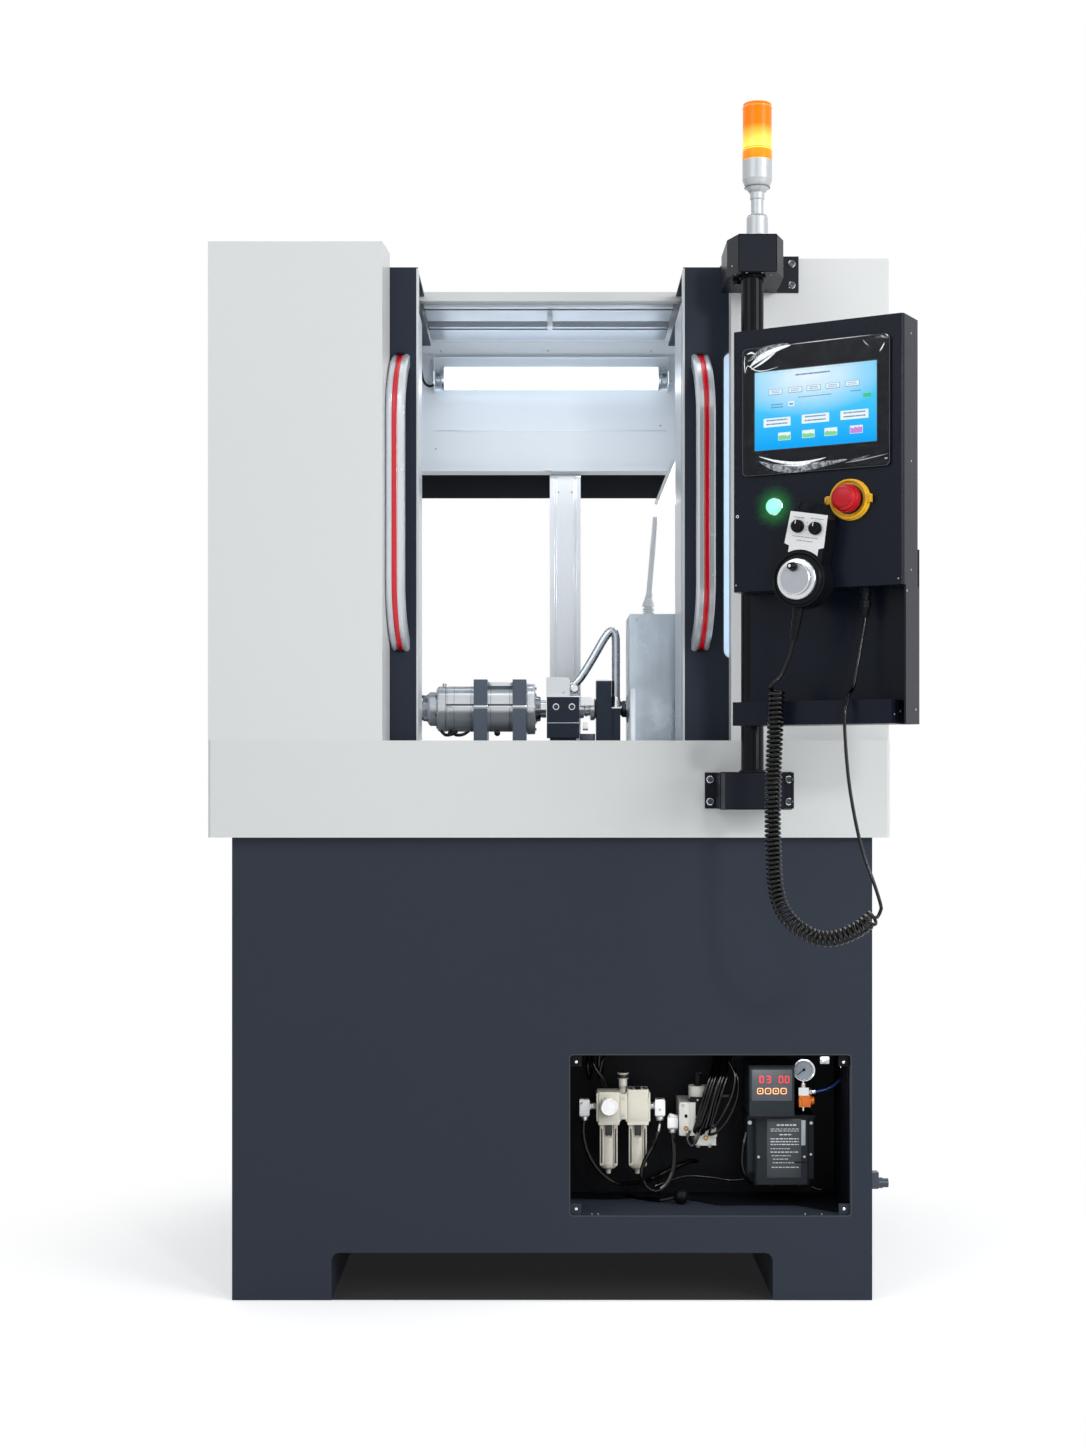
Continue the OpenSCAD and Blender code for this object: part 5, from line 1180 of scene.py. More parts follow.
def ribbon(p, points, widths, y0, lift):
    """A thin raised fold that follows (x, z) points and narrows to its widths."""
    line = [Vector((x, 0, z)) for x, z in points]
    rows = []
    for k, (middle, w) in enumerate(zip(line, widths)):
        t = (line[min(k + 1, len(line) - 1)] - line[max(k - 1, 0)]).normalized()
        side = Vector((-t.z, 0, t.x))
        up = lift * min(1.0, w / max(widths))
        rows.append(p.row(middle + side * w * u + Vector((0, y0 - up * v, 0)) for u, v in RIBBON))
    p.skin(rows)
    p.face(rows[0][::-1])
    p.face(rows[-1])


def smooth_2d(points, steps=6):
    return [(v.x, v.z) for v in catmull([(p[0], 0, p[1]) for p in points], steps)]


def taper(n, peak, at_end=0.12, centre=0.5):
    """Widths that swell to a peak between two fine ends."""
    out = []
    for k in range(n):
        t = k / (n - 1)
        d = t / centre if t < centre else (1 - t) / (1 - centre)
        out.append(peak * (at_end + (1 - at_end) * math.sin(math.pi / 2 * max(0.0, d))))
    return out


def make_screen():
    y = -5.0
    p = Piece()
    p.plate(rounded(145, 1492.5, 207.2, 125.7, 0.8), y - 0.3, y - 0.02)
    p.finish("screen_picture", "screen_blue", "screen", "control_panel", PANEL, smooth=0)
    p = Piece()

    def plate(cx, cz, w, h, level, mat, r=0.8):
        top = y - 0.3 - 0.1 * level
        p.plate(rounded(cx, cz, w, h, r, 3), top - 0.1, top + 0.08, mat=mat)

    def bars(cx, cz, w, rows, gap, mat, level=2, seed=1):
        """Rows of short blank dashes, in place of any wording."""
        rng = random.Random(seed)
        for k in range(rows):
            x = cx - w / 2
            z = cz + (rows - 1) * gap / 2 - k * gap
            while x < cx + w / 2 - 1.2:
                run = min(rng.uniform(1.2, 3.4), cx + w / 2 - x)
                plate(x + run / 2, z, run, gap * 0.34, level, mat, 0.15)
                x += run + 0.8

    for k, (cx, cz) in enumerate(((77.5, 1521.5), (111.5, 1522), (143, 1522.3), (175.3, 1522.6), (208.2, 1523))):
        plate(cx, cz, 23.6, 9.0, 0, 1, 1.2)
        plate(cx, cz + 0.15, 22.4, 7.8, 1, 0, 1.0)
        bars(cx, cz + 0.15, 15.0, 2, 2.6, 1, 2, 3 + k)
    bars(141, 1545.5, 58, 1, 7.5, 1, 0, 40)
    bars(80, 1499, 20, 2, 4.4, 1, 0, 41)
    bars(146, 1509.5, 58, 1, 3.6, 1, 0, 42)
    bars(214, 1511, 18, 1, 3.6, 1, 0, 43)
    plate(104.7, 1500.5, 10.3, 7.6, 0, 0, 0.6)
    plate(104.7, 1500.0, 6.4, 2.2, 1, 1, 0.5)
    plate(232.9, 1502.5, 13.3, 5.6, 0, 2, 0.5)
    for k, (cx, cz) in enumerate(((80.2, 1473), (146, 1473.8), (211.6, 1474))):
        plate(cx, cz, 46.6, 14.2, 0, 0, 0.8)
        bars(cx, cz + 0.4, 36, 2, 6.0, 1, 1, 20 + k)
    rng = random.Random(5)
    for k, (cx, cz) in enumerate(((92.9, 1449.6), (134.1, 1450), (172.1, 1450.3), (214.8, 1450.4))):
        tone = 3 if k == 3 else 2
        plate(cx, cz, 21.4, 12.4, 0, 0, 0.5)
        for s in range(9):
            w = 20.2 / 9
            h = (6.4 if k < 3 else 8.6) + rng.uniform(-1.2, 1.2)
            plate(cx - 10.1 + w * (s + 0.5), cz - 5.6 + h / 2, w + 0.05, h, 1, tone, 0.1)
    p.finish("screen_controls", ["screen_white", "screen_line", "screen_green", "screen_purple"], "screen",
             "control_panel", PANEL, smooth=0)


def make_bezel_trim():
    """Fine raised rim round the bezel and round the glass."""
    p = Piece()
    for cx, cz, w, h, r, y, wide in ((145, 1492.5, 250.2, 205.2, 8.1, -5.7, 0.9),
                                     (145, 1492.5, 209.4, 128, 1.4, -5.8, 0.7)):
        rows = [p.row((px, yy, pz) for px, pz in rounded(cx, cz, w + 2 * more, h + 2 * more, r))
                for more, yy in ((0, y + 1.4), (0, y - 0.5), (-wide, y - 0.62), (-wide * 1.6, y + 0.5))]
        p.skin(rows + rows[:1])
    p.finish("bezel_rim", "label_grey", "black_plastic", "control_panel", PANEL)


def make_film():
    """Protective film left on the bezel, lifted and creased at its corners."""
    p = Piece()
    nx, nz = 40, 33
    grid = []
    for j in range(nz + 1):
        row = []
        for i in range(nx + 1):
            u, v = i / nx, j / nz
            x, z = 145 + (u - 0.5) * 247, 1492.5 + (v - 0.5) * 202
            corner = max(0.0, 1 - math.hypot((u - 0.06) * 2.6, (v - 0.94) * 3.4)) * 2.6
            foot = max(0.0, 1 - math.hypot((u - 0.34) * 2.4, (v - 0.03) * 6.0)) * 1.8
            edge = max(0.0, 1 - math.hypot((u - 0.97) * 6, (v - 0.9) * 6)) * 1.2
            ripple = 0.18 * math.sin(u * 23 + v * 11) * math.sin(v * 19 - u * 5)
            row.append((x, -6.55 - corner - foot - edge - ripple * (corner + foot + 0.2), z))
        grid.append(p.row(row))
    for j in range(nz):
        for i in range(nx):
            if abs((i + 0.5) / nx - 0.5) > 0.41 or abs((j + 0.5) / nz - 0.5) > 0.3:
                p.face((grid[j][i], grid[j][i + 1], grid[j + 1][i + 1], grid[j + 1][i]))
    bmesh.ops.delete(p.bm, geom=[v for v in p.bm.verts if not v.link_faces], context="VERTS")
    p.finish("bezel_film", "film", "window_clear", "control_panel", PANEL, smooth=60, recalc=False)
    # The creases are raised folds, finished near white and glowing: painted highlights along the folds.
    creases = [
        ([(34, 1566), (46, 1575), (62, 1583), (84, 1590), (104, 1593.5)], 4.6, 0.42, 2.4),
        ([(36, 1561), (52, 1569), (66, 1577), (78, 1584)], 2.0, 0.5, 1.5),
        ([(25, 1556), (30, 1567.5), (43, 1559), (60, 1557), (83, 1561)], 0.8, 0.5, 0.9),
        ([(25, 1584), (23.8, 1572), (25.2, 1556)], 0.7, 0.5, 0.6),
        ([(28, 1586), (36, 1588), (43, 1585)], 1.3, 0.5, 0.9),
        ([(50, 1420), (77, 1411), (105, 1405.5), (128, 1405), (151, 1407.5), (164, 1410)], 2.3, 0.4, 1.4),
        ([(92, 1403.5), (112, 1401), (130, 1402), (142, 1406)], 1.5, 0.5, 1.0),
        ([(262, 1581), (258, 1574), (254, 1568)], 1.0, 0.5, 0.8),
        ([(262, 1401.5), (264.5, 1401), (267, 1401.6)], 0.7, 0.5, 0.5),
        ([(263, 1594), (266, 1592.6), (268, 1589)], 0.6, 0.5, 0.4),
        ([(196, 1399), (228, 1402), (267, 1408)], 0.35, 0.5, 0.3),
        ([(226, 1590), (230, 1584), (236, 1579)], 0.35, 0.5, 0.3),
        ([(104, 1594.5), (160, 1594.9), (240, 1595.2)], 0.45, 0.5, 0.3),
    ]
    # Milky patches with a faint glow: painted sheen on the film.
    haze = [
        ([(50, 1412), (80, 1400), (118, 1396.5), (160, 1400), (200, 1404)], 6.5, 0.4, 1.0),
        ([(30, 1575), (60, 1590), (100, 1596)], 5.0, 0.5, 1.0),
        ([(246, 1590), (258, 1591), (267, 1587)], 1.6, 0.5, 0.5),
        ([(205, 1402), (222, 1404), (236, 1408)], 1.6, 0.5, 0.4),
    ]
    for name, finish, y, folds in (("film_creases", "film_crease", -6.9, creases),
                                   ("film_haze", "film_milk", -6.75, haze)):
        p = Piece()
        for points, peak, centre, lift in folds:
            line = smooth_2d(points)
            ribbon(p, line, taper(len(line), peak, 0.1, centre), y, lift)
        p.finish(name, finish, "window_clear", "control_panel", PANEL, smooth=60)


def make_panel_buttons():
    p = Piece()
    # A thin glowing disc on the panel: painted light, the start lamp's green light round the button.
    p.plate(ring(73.6, 1339, 41, 48), -0.42, -0.3)
    p.finish("start_light_pool", "green_pool", "green_lamp", "control_panel", PANEL, smooth=0)
    p = Piece()
    p.lathe([(12.3, 0), (14.2, 0), (14.2, 1.2), (13.4, 2.0), (12.3, 2.0)], (73.6, 0, 1339), FORWARD, 40)
    p.finish("start_bezel", "chrome", "steel", "control_panel", PANEL)
    p = Piece()
    p.lathe([(0, 9.0), (9.5, 9.0), (10.2, 9.4), (9.0, 10.3), (5.0, 10.9), (0, 11.0)], (73.6, 0, 1339), FORWARD, 40)
    p.finish("start_lens", "green_glow", "green_lamp", "start_button", PANEL)
    x, z = 204, 1341
    p = Piece()
    p.lathe([(28.5, 7.5), (31.4, 7.8), (31.4, 12.2), (30.4, 13.2), (28.6, 13.2), (28.0, 12.2)], (x, 0, z), FORWARD,
            56)
    p.lathe([(31.2, 0.2), (32.6, 0.4), (32.6, 3.4), (31.2, 4.4)], (x, 0, z), FORWARD, 56)
    for s in (-1, 1):
        a, b = sorted((x + s * 30.4, x + s * 37.5))
        p.box((a, -13.4, z - 6.5), (b, -4.0, z + 6.5), 1.2)
        a, b = sorted((x + s * 35.8, x + s * 38.4))
        p.box((a, -15.4, z - 4.4), (b, -8.0, z + 4.4), 0.9)
    p.finish("stop_guard", "ring_yellow", "yellow", "control_panel", PANEL)
    p = Piece()
    p.lathe([(19.5, 15.2), (22.0, 15.6), (22.2, 17.4), (20.8, 20.6), (20.2, 20.6)], (x, 0, z), FORWARD, 48)
    p.lathe([(20.9, 25.0), (21.5, 25.6), (21.5, 27.2), (20.9, 27.8)], (x, 0, z), FORWARD, 48)
    p.lathe([(0, 38.6), (13.8, 38.0), (14.6, 38.4), (14.0, 39.3), (8, 40.2), (0, 40.5)], (x, 0, z), FORWARD, 48)
    p.finish("stop_cap_rings", "stop_red", "red", "stop_button", PANEL)
    p = Piece()
    p.lathe([(10.5, 8.1), (22.8, 8.1), (22.8, 8.5), (15.5, 8.8), (14.5, 9.0), (10.5, 9.0)], (x, 0, z), FORWARD, 40)
    p.finish("stop_neck", "seal_black", "black_plastic", "control_panel", PANEL)


def make_panel_screws():
    p = Piece()
    p.lathe([(1.3, -0.2), (2.6, -0.2), (2.6, 0.5), (2.2, 0.8), (1.6, 0.8), (1.3, 0.4)], (8.6, 0, 1327), FORWARD, 20)
    p.finish("panel_eyelet", "chrome", "steel", "control_panel", PANEL)
    side = RIGHT
    places = [((290, 56, 1012), side, 0.5), ((290, 16, 1196), side, 0.5), ((271, 38, 1010), side, 0.5),
              ((271, 12, 1004), side, 0.4), ((290, 35, 1400), side, 0.4), ((290, 35, 1600), side, 0.4),
              ((290, 35, 1230), side, 0.4), ((282, 0, 1214), FORWARD, 0.3), ((6, 0, 1216), FORWARD, 0.3),
              ((30, 72.9, 1240), BACK, 0.7), ((260, 72.9, 1240), BACK, 0.7), ((145, 72.9, 1000), BACK, 0.7)]
    screws("panel_screws", places, DOME, body="control_panel", place=PANEL)
    p = Piece()
    p.lathe([(5.8, 0), (8.8, 0), (8.8, 5), (8.0, 6), (8.0, 11), (5.8, 12)], (214.5, 35, 1184.5), DOWN, 6)
    p.lathe([(2.9, 0), (6.4, 0), (6.0, 5), (4.6, 12), (3.6, 15), (2.9, 15)], (214.5, 35, 1173), DOWN, 24)
    p.finish("gland_nut", "black_plastic", "black_plastic", "control_panel", PANEL)
    p = Piece()
    p.lathe([(2.8, 0), (4.3, 0.8), (4.4, 12), (3.4, 16), (2.8, 16)], (203.2, -20, 1016), (0.03, 0.42, 0.9), 20)
    p.finish("cord_sleeve", "black_plastic", "black_plastic", "control_panel", PANEL)


def make_pendant_details():
    top, arc_r = 104.5, 47.0
    outline = [(-31.5, top), (-33.5, 57), (-33.5, 53.5), (-25, 50.5)]
    a0 = math.acos(-25 / arc_r)
    for k in range(13):
        a = a0 + (math.pi - 2 * a0) * k / 12
        outline.append((arc_r * math.cos(a), arc_r * math.sin(a)))
    outline += [(25, 50.5), (33.5, 53.5), (33.5, 57), (31.5, top)]
    p = Piece()
    front, back = (p.row((x, y, z) for x, z in outline) for y in (-43.0, -41.9))
    p.face(front)
    p.face(back[::-1])
    p.skin([front, back])
    bmesh.ops.triangulate(p.bm, faces=[f for f in p.bm.faces if len(f.verts) > 4])
    p.finish("pendant_plate", "plate_silver", "dial_silver", "control_panel", PENDANT, smooth=0)
    p = Piece()
    rng = random.Random(9)
    for cx, cz, w, rows in ((-15, 96, 20, 1), (15, 97, 22, 1), (0, 66.5, 44, 1), (0, 60.5, 28, 1), (0, 84, 1.4, 3)):
        for k in range(rows):
            x = cx - w / 2
            while x < cx + w / 2 - 0.8:
                run = min(rng.uniform(0.9, 2.6), cx + w / 2 - x)
                z = cz + (rows - 1) * 3 - 6 * k
                p.box((x, -43.12, z - 0.55), (x + run, -42.95, z + 0.55))
                x += run + 0.9
    for k in range(9):
        for cx, r in ((-15, 12.2), (15, 12.2)):
            a = math.radians(40 + 100 * k / 8)
            x, z = cx + r * math.cos(a), 82 + r * math.sin(a)
            p.box((x - 0.35, -43.12, z - 0.35), (x + 0.35, -42.95, z + 0.35))
    p.finish("pendant_dashes", "label_grey", "black_plastic", "control_panel", PENDANT, smooth=0)
    for body, x in (("axis_knob", -15), ("rate_knob", 15)):
        p = Piece()
        p.box((x - 0.6, -57.0, 84.4), (x + 0.6, -56.3, 90.2), 0.2)
        p.finish(body + "_mark", "knob_white", "knob_white", body, PENDANT)
        p = Piece()
        p.lathe([(9.3, 5.4), (10.2, 5.4), (9.9, 6.8), (9.0, 7.2)], (x, -42, 82), FORWARD, 36)
        for k in range(18):
            a = 2 * math.pi * k / 18
            cx, cz = x + 8.3 * math.cos(a), 82 + 8.3 * math.sin(a)
            p.tube([(cx, -54.4, cz), (cx, -48.5, cz)], 0.55, 6)
        p.finish(body + "_grip", "knob_black", "black_plastic", body, PENDANT)
    p = Piece()
    p.lathe([(41.4, -0.4), (44.4, -0.4), (44.4, 1.2), (43.6, 2.6), (41.8, 3.2), (40, 2.0)], (0, -42, 0), FORWARD,
            64)
    p.lathe([(33.2, 3.6), (35.6, 3.6), (35.2, 4.6), (33.8, 4.9)], (0, -42, 0), FORWARD, 64)
    for z0, r0, r1, h in ((-44, 9.6, 9.2, 4), (-64, 8.7, 8.0, 5), (-70, 7.4, 7.2, 3), (-75, 7.2, 6.9, 3),
                          (-80, 6.9, 6.6, 3),
                          (-85, 6.6, 6.3, 3), (-90, 6.3, 5.8, 3)):
        p.lathe([(2.9, 0), (r0, 0), (r1, h), (2.9, h)], (0, -24, z0), DOWN, 28)
    p.finish("pendant_trim", "black_plastic", "black_plastic", "control_panel", PENDANT)
    p = Piece()
    p.lathe([(25.6, 5.9), (32.1, 6.3), (32.2, 7.0), (31.2, 8.2), (25.6, 8.8)], (0, -44.6, 0), FORWARD, 72)
    p.lathe([(23.6, 14.2), (25.6, 14.2), (25.5, 15.4), (24.8, 16.1), (23.8, 15.6)], (0, -44.6, 0), FORWARD, 72)
    p.finish("dial_rims", "bright_steel", "dial_silver", "hand_dial", PENDANT)
    p = Piece()
    p.lathe([(6.4, 0.2), (7.6, 0.2), (7.6, 1.0), (6.4, 1.4)], (-5, -60, 18), FORWARD, 28)
    p.finish("crank_seat", "seal_black", "black_plastic", "hand_dial", PENDANT)
    p = Piece()
    p.lathe([(0, 13.6), (2.4, 13.6), (2.2, 14.5), (0, 14.8)], (-5, -60, 18), FORWARD, 20)
    p.finish("crank_cap", "chrome", "steel", "dial_crank", PENDANT)


make_screen()
make_bezel_trim()
make_film()
make_panel_buttons()
make_panel_screws()
make_pendant_details()


# ------------------------------------------------------------------ service bay
BAY_Y = 150.0


def make_bay_shade_sheets():
    """Black sheets over the bay's walls, ceiling and floor: painted shade for the dark inside of the bay; the floor
    sheet's wavy front edge lies along a shadow's edge, a painted shadow.
    """
    p = Piece()
    p.box((38, 222.6, 148), (521, 224.2, 424))
    p.box((37, 45, 148), (38, 224, 424))
    p.box((521, 45, 148), (522, 224, 424))
    p.box((37, 45, 423.4), (522, 224, 424.4))
    steps, low, high = 48, 146.4, 147.6
    front = []
    for k in range(steps + 1):
        t = k / steps
        y = 165 - 55 * ease((t - 0.4) / 0.17) - 62 * ease((t - 0.8) / 0.2) + 1.5 * math.sin(t * 31)
        front.append((38 + 483 * t, y))
    back = [(x, 223.0) for x, y in front]
    rows = [p.row((x, y, z + (0.6 * math.sin(x * 0.05) if z == high else 0)) for x, y in line)
            for line, z in ((front, low), (front, high), (back, high), (back, low))]
    p.skin(rows + rows[:1], closed=False)
    for k in (0, steps):
        p.face([r[k] for r in rows])
    p.finish("bay_lining", "lining_black", "black_plastic")


def make_filters():
    p = Piece()
    for x in (107, 159):
        for s in (-1, 1):
            p.box((x + s * 20.6 - 1.3, 128, 293), (x + s * 20.6 + 1.3, 172, 343), 0.8)
            p.box((x + s * 12.6 - 3.2, 133.4, 213), (x + s * 12.6 + 3.2, 138, 288), 1.4)
        p.box((x - 18.8, 126.2, 286.5), (x + 18.8, 128.5, 292), 0.8)
        p.lathe([(14, -0.4), (16.4, -0.4), (16.6, 1.5), (16.6, 6), (15.8, 7.5), (14, 7.5)], (x, BAY_Y, 284), UP, 40)
        p.lathe([(0, -9), (3.4, -9), (4.2, -7.4), (4.2, -3), (6, -1), (6, 0.4), (0, 0.4)], (x, BAY_Y, 205), UP, 20)
    p.box((143.5, 125.8, 296), (174.5, 127.6, 331), 0.9)
    p.box((127.6, 126.6, 297), (138.4, 131, 341.5), 1.2)
    p.finish("filter_guards", "filter_cream", "filter_cream")
    p = Piece()
    for x in (107, 159):
        p.plate(rounded(x, 277.5, 12.4, 21, 1.4), 132.4, 135.5, 0.4)
        for s in (-1, 1):
            p.plate(rounded(x + s * 12.4, 248, 2.6, 62, 1.2), 132.6, 134.5, 0.3)
    p.lathe([(0, 0), (19.4, 0), (19.0, 4.0), (17.2, 5.6), (0, 5.8)], (159, BAY_Y, 343.4), UP, 32)
    p.lathe([(0, 0), (9.4, 0), (10.2, 1.6), (10.2, 8), (8.6, 11.5), (5, 13), (0, 13.4)], (133, BAY_Y, 366), UP, 28)
    p.finish("filter_windows", "seal_black", "black_plastic")
    p = Piece()
    for k, z in enumerate((251, 254.5, 258, 261.5)):
        for x in (107, 159):
            p.box((x - 2.6, 133.6, z), (x + (2.6 if k % 2 else 0.4), 134.4, z + 0.5))
    for x in (107, 159):
        for s in (-1, 1):
            p.box((x + s * 3.5 - 1.3, 132.2, 265.6), (x + s * 3.5 + 1.3, 133, 266.6))
    p.finish("bowl_marks", "label_grey", "black_plastic", smooth=0)
    p = Piece()
    p.nut((133, BAY_Y, 357.5), UP, 12.5, 8.5)
    p.lathe([(4.5, 0), (6.9, 0), (6.9, 1.8), (4.5, 2.2)], (133, BAY_Y, 364.8), UP, 24)
    p.finish("tee_fitting", "brass", "steel")
    p = Piece()
    p.lathe([(5, 0), (7.6, 0), (8, 1), (8, 3.6), (7.4, 4.6), (5, 4.6)], (133, BAY_Y, 349.4), UP, 24)
    for x, a, b in ((64, 72.2, 78.5), (199, 179.6, 186)):
        p.nut((a, BAY_Y, 317), RIGHT, 15, 4.4)
        p.lathe([(4, 0), (6.9, 0), (6.9, b - a), (4, b - a)], (a, BAY_Y, 317), RIGHT, 24)
        p.lathe([(3.6, -8.6), (6.6, -8.6), (7.4, -7), (7.4, -3), (6.4, -1), (6.4, 0.2), (3.6, 0.2)],
                (x, BAY_Y, 300), UP, 24)
    p.lathe([(3.6, -6.4), (6.6, -6.4), (7.4, -5), (7.4, -2), (6.4, 0.2), (3.6, 0.2)], (222, BAY_Y, 276), UP, 24)
    p.finish("hose_fittings", "plain_steel", "steel")
    p = Piece()
    for x, z0, z1 in ((64, 300, 330), (199, 300, 330)):
        p.box((x - 9.2, BAY_Y - 10.2, z0 + 1), (x + 9.2, BAY_Y - 7, z1 - 1), 1.8)
        p.lathe([(8.2, 0), (8.2, 10), (7, 12), (0, 12)], (x, BAY_Y, 318), UP, 24)
    p.box((212.2, BAY_Y - 10.2, 279), (231.4, BAY_Y - 7, 297), 1.8)
    p.lathe([(8.6, 0), (9, 2), (9, 8), (7.6, 10), (0, 10)], (221, BAY_Y, 292), (0.35, 0, 1), 24)
    p.finish("hose_elbows", "knob_white", "filter_cream")
    places = [((59, BAY_Y - 10.2, 324), FORWARD, 0.45), ((199, BAY_Y - 10.2, 312), FORWARD, 0.45),
              ((133, 126.6, 334), FORWARD, 0.5), ((133, 126.6, 304), FORWARD, 0.5),
              ((152, BAY_Y - 6, 349), UP, 0.5), ((166, BAY_Y - 6, 349), UP, 0.5)]
    screws("filter_screws", places)
    p = Piece()
    p.lathe([(15.2, 0.2), (16.8, 0.2), (17.0, 2.2), (16.4, 3.4), (15.2, 3.4)], (107, 123.4, 320), FORWARD, 48)
    p.finish("knob_collar", "filter_cream", "filter_cream")
    p = Piece()
    p.lathe([(13.0, 12.1), (14.2, 11.6), (14.6, 12.1), (13.8, 13.0), (12.8, 13.1), (12.2, 12.4)],
            (107, 122.7, 320), FORWARD, 48)
    p.lathe([(0, 12.2), (1.1, 12.2), (1.0, 13.1), (0, 13.2)], (107, 122.7, 320), FORWARD, 16)
    for k in range(30):
        a = 2 * math.pi * k / 30
        c, s = 107 + 15.3 * math.cos(a), 320 + 15.3 * math.sin(a)
        p.tube([(c, 121.4, s), (c, 113.6, s)], 0.55, 6)
    p.finish("knob_rim", "knob_white", "knob_white", "regulator_knob")


def make_manifold():
    p = Piece()
    p.plate(rounded(241, 296, 17, 60, 5), 132.6, 137, 1.0)
    p.plate(rounded(276, 262, 27, 29, 2), 137.6, 141, 1.2)
    p.plate([(262, 291), (262, 277), (289, 277), (283, 288), (275, 293)], 137.0, 141, 0.8)
    p.plate(rounded(294, 268, 13, 12, 4), 136.8, 141, 1.0)
    p.finish("manifold_faces", "valve_grey", "valve_grey")
    p = Piece()
    p.lathe([(0, 0), (17.6, 0), (17.6, 3), (16.6, 4), (16.6, 8), (17.6, 9), (17.6, 36), (15, 39), (9, 41),
             (0, 41.5)],
            (268, 162, 292.5), UP, 40)
    p.lathe([(0, 0), (6.6, 0), (6.6, 12), (7.6, 13), (7.6, 20), (5, 23), (0, 23)], (268, 162, 352), UP, 24)
    p.box((252, 140, 300), (284, 150, 334), 2.5)
    p.plate(rounded(244.9, 301.5, 5.4, 6.4, 2.2), 132.0, 133.4, 0.3)
    p.finish("solenoid_coil", "black_plastic", "black_plastic")
    p = Piece()
    p.lathe([(1.6, 0), (4.2, 0), (4.2, 1.0), (3.4, 1.8), (1.6, 1.8)], (244.9, 132.6, 279.5), FORWARD, 24)
    p.lathe([(2.2, 0), (4.4, 0), (4.4, 0.9), (3.6, 1.4), (2.2, 1.4)], (281, 137.6, 262), FORWARD, 24)
    p.finish("manifold_ports", "brass", "steel")
    places = [((240, 132.6, 321), FORWARD, 0.55), ((266, 137.6, 251), FORWARD, 0.45),
              ((288, 137.6, 251), FORWARD, 0.45),
              ((266, 140, 329), FORWARD, 0.35), ((280, 140, 329), FORWARD, 0.35),
              ((246, 132.6, 270), FORWARD, 0.35)]
    screws("manifold_screws", places)


def make_cable_bundle():
    """Glossy leads that rise from the coils to the bay's roof, bound together."""
    p = Piece()
    rng = random.Random(21)
    for k in range(9):
        x0 = 262 + 3.4 * k
        y0 = 133 - 5 * (k % 3)
        bow = rng.uniform(-3, 3)
        pts = [(x0 - 4, y0 + 8, 268 + 3 * (k % 4)), (x0 + 2, y0 - 2, 292 + bow), (x0 + 14 + bow, y0 - 6, 330),
               (x0 + 26 + bow, y0, 366), (x0 + 34, y0 + 16, 396), (x0 + 38, y0 + 26, 424)]
        p.tube(catmull(pts, 7), rng.choice((2.2, 2.7, 3.1)), 10)
    for pts, r in (
        ([(252, 128, 276), (246, 122, 262), (254, 120, 250), (264, 124, 262), (272, 130, 282), (286, 134, 318),
          (318, 150, 376),
          (330, 160, 424)], 2.6),
        ([(330, 140, 388), (338, 132, 362), (334, 126, 330), (318, 124, 296), (300, 128, 274), (288, 134, 268)],
         2.6),
        ([(322, 138, 398), (332, 128, 374), (326, 122, 340), (308, 120, 304), (292, 126, 280)], 2.2),
        ([(82, 158, 424), (78, 150, 404), (84, 146, 384), (96, 150, 368), (104, 158, 352)], 3.0),
        ([(98, 162, 424), (100, 154, 408), (94, 148, 392), (92, 150, 372), (98, 158, 352)], 2.6),
        ([(352, 132, 272), (346, 124, 250), (344, 122, 220), (350, 124, 196), (362, 136, 180)], 2.6),
        ([(470, 150, 172), (486, 146, 168), (500, 150, 172)], 2.2),
        ([(190, 174, 168), (216, 178, 176), (248, 176, 186), (288, 178, 184), (330, 180, 178), (352, 178, 180)],
         2.6),
    ):
        p.tube(catmull(pts, 7), r, 10)
    p.box((291, 126, 336), (322, 150, 341), 2.0)
    p.finish("cable_bundle", "hose_black", "hose_black", smooth=60)
    p = Piece()
    p.lathe([(0, -13.4), (7, -12.4), (10.6, -8.6), (13.3, -2.5), (13.6, 0), (13.3, 2.5), (10.6, 8.6), (7, 12.4),
             (0, 13.4)],
            (236, 126, 159.2), (0.8, -0.5, 0.2), 32)
    p.lathe([(2.6, 0), (5.4, 0.6), (6.4, 4), (6.4, 10), (0, 10)], (222, 129, 157), (0.8, -0.2, 0.1), 20)
    p.finish("loose_plug", "black_plastic", "hose_black")


def make_blue_hose():
    p = Piece()
    p.tube(catmull([(473, 136, 345), (484, 137, 345.6), (500, 139, 350), (512, 141, 357), (522, 144, 366)], 8),
           3.4, 14)
    p.finish("blue_hose", "hose_blue", "hose_black", smooth=60)


SEGMENTS = {"a": (0, 1, True), "b": (1, 0.5, False), "c": (1, -0.5, False), "d": (0, -1, True),
            "e": (-1, -0.5, False),
            "f": (-1, 0.5, False), "g": (0, 0, True)}    # place across and up, and whether the bar lies flat
DIGITS = {"0": "abcdef", "3": "abcdg"}


def add_digit(p, shape, cx, cz, w, h, y):
    """One seven-bar figure."""
    bar = 1.25
    for name in DIGITS[shape]:
        px, pz, flat = SEGMENTS[name]
        x, z = cx + px * (w / 2 - bar / 2), cz + pz * (h / 2 - bar / 2)
        if flat:
            p.box((x - w / 2 + bar * 0.75, y, z - bar / 2), (x + w / 2 - bar * 0.75, y + 0.4, z + bar / 2))
        else:
            p.box((x - bar / 2, y, z - h / 4 + bar * 0.35), (x + bar / 2, y + 0.4, z + h / 4 - bar * 0.35))


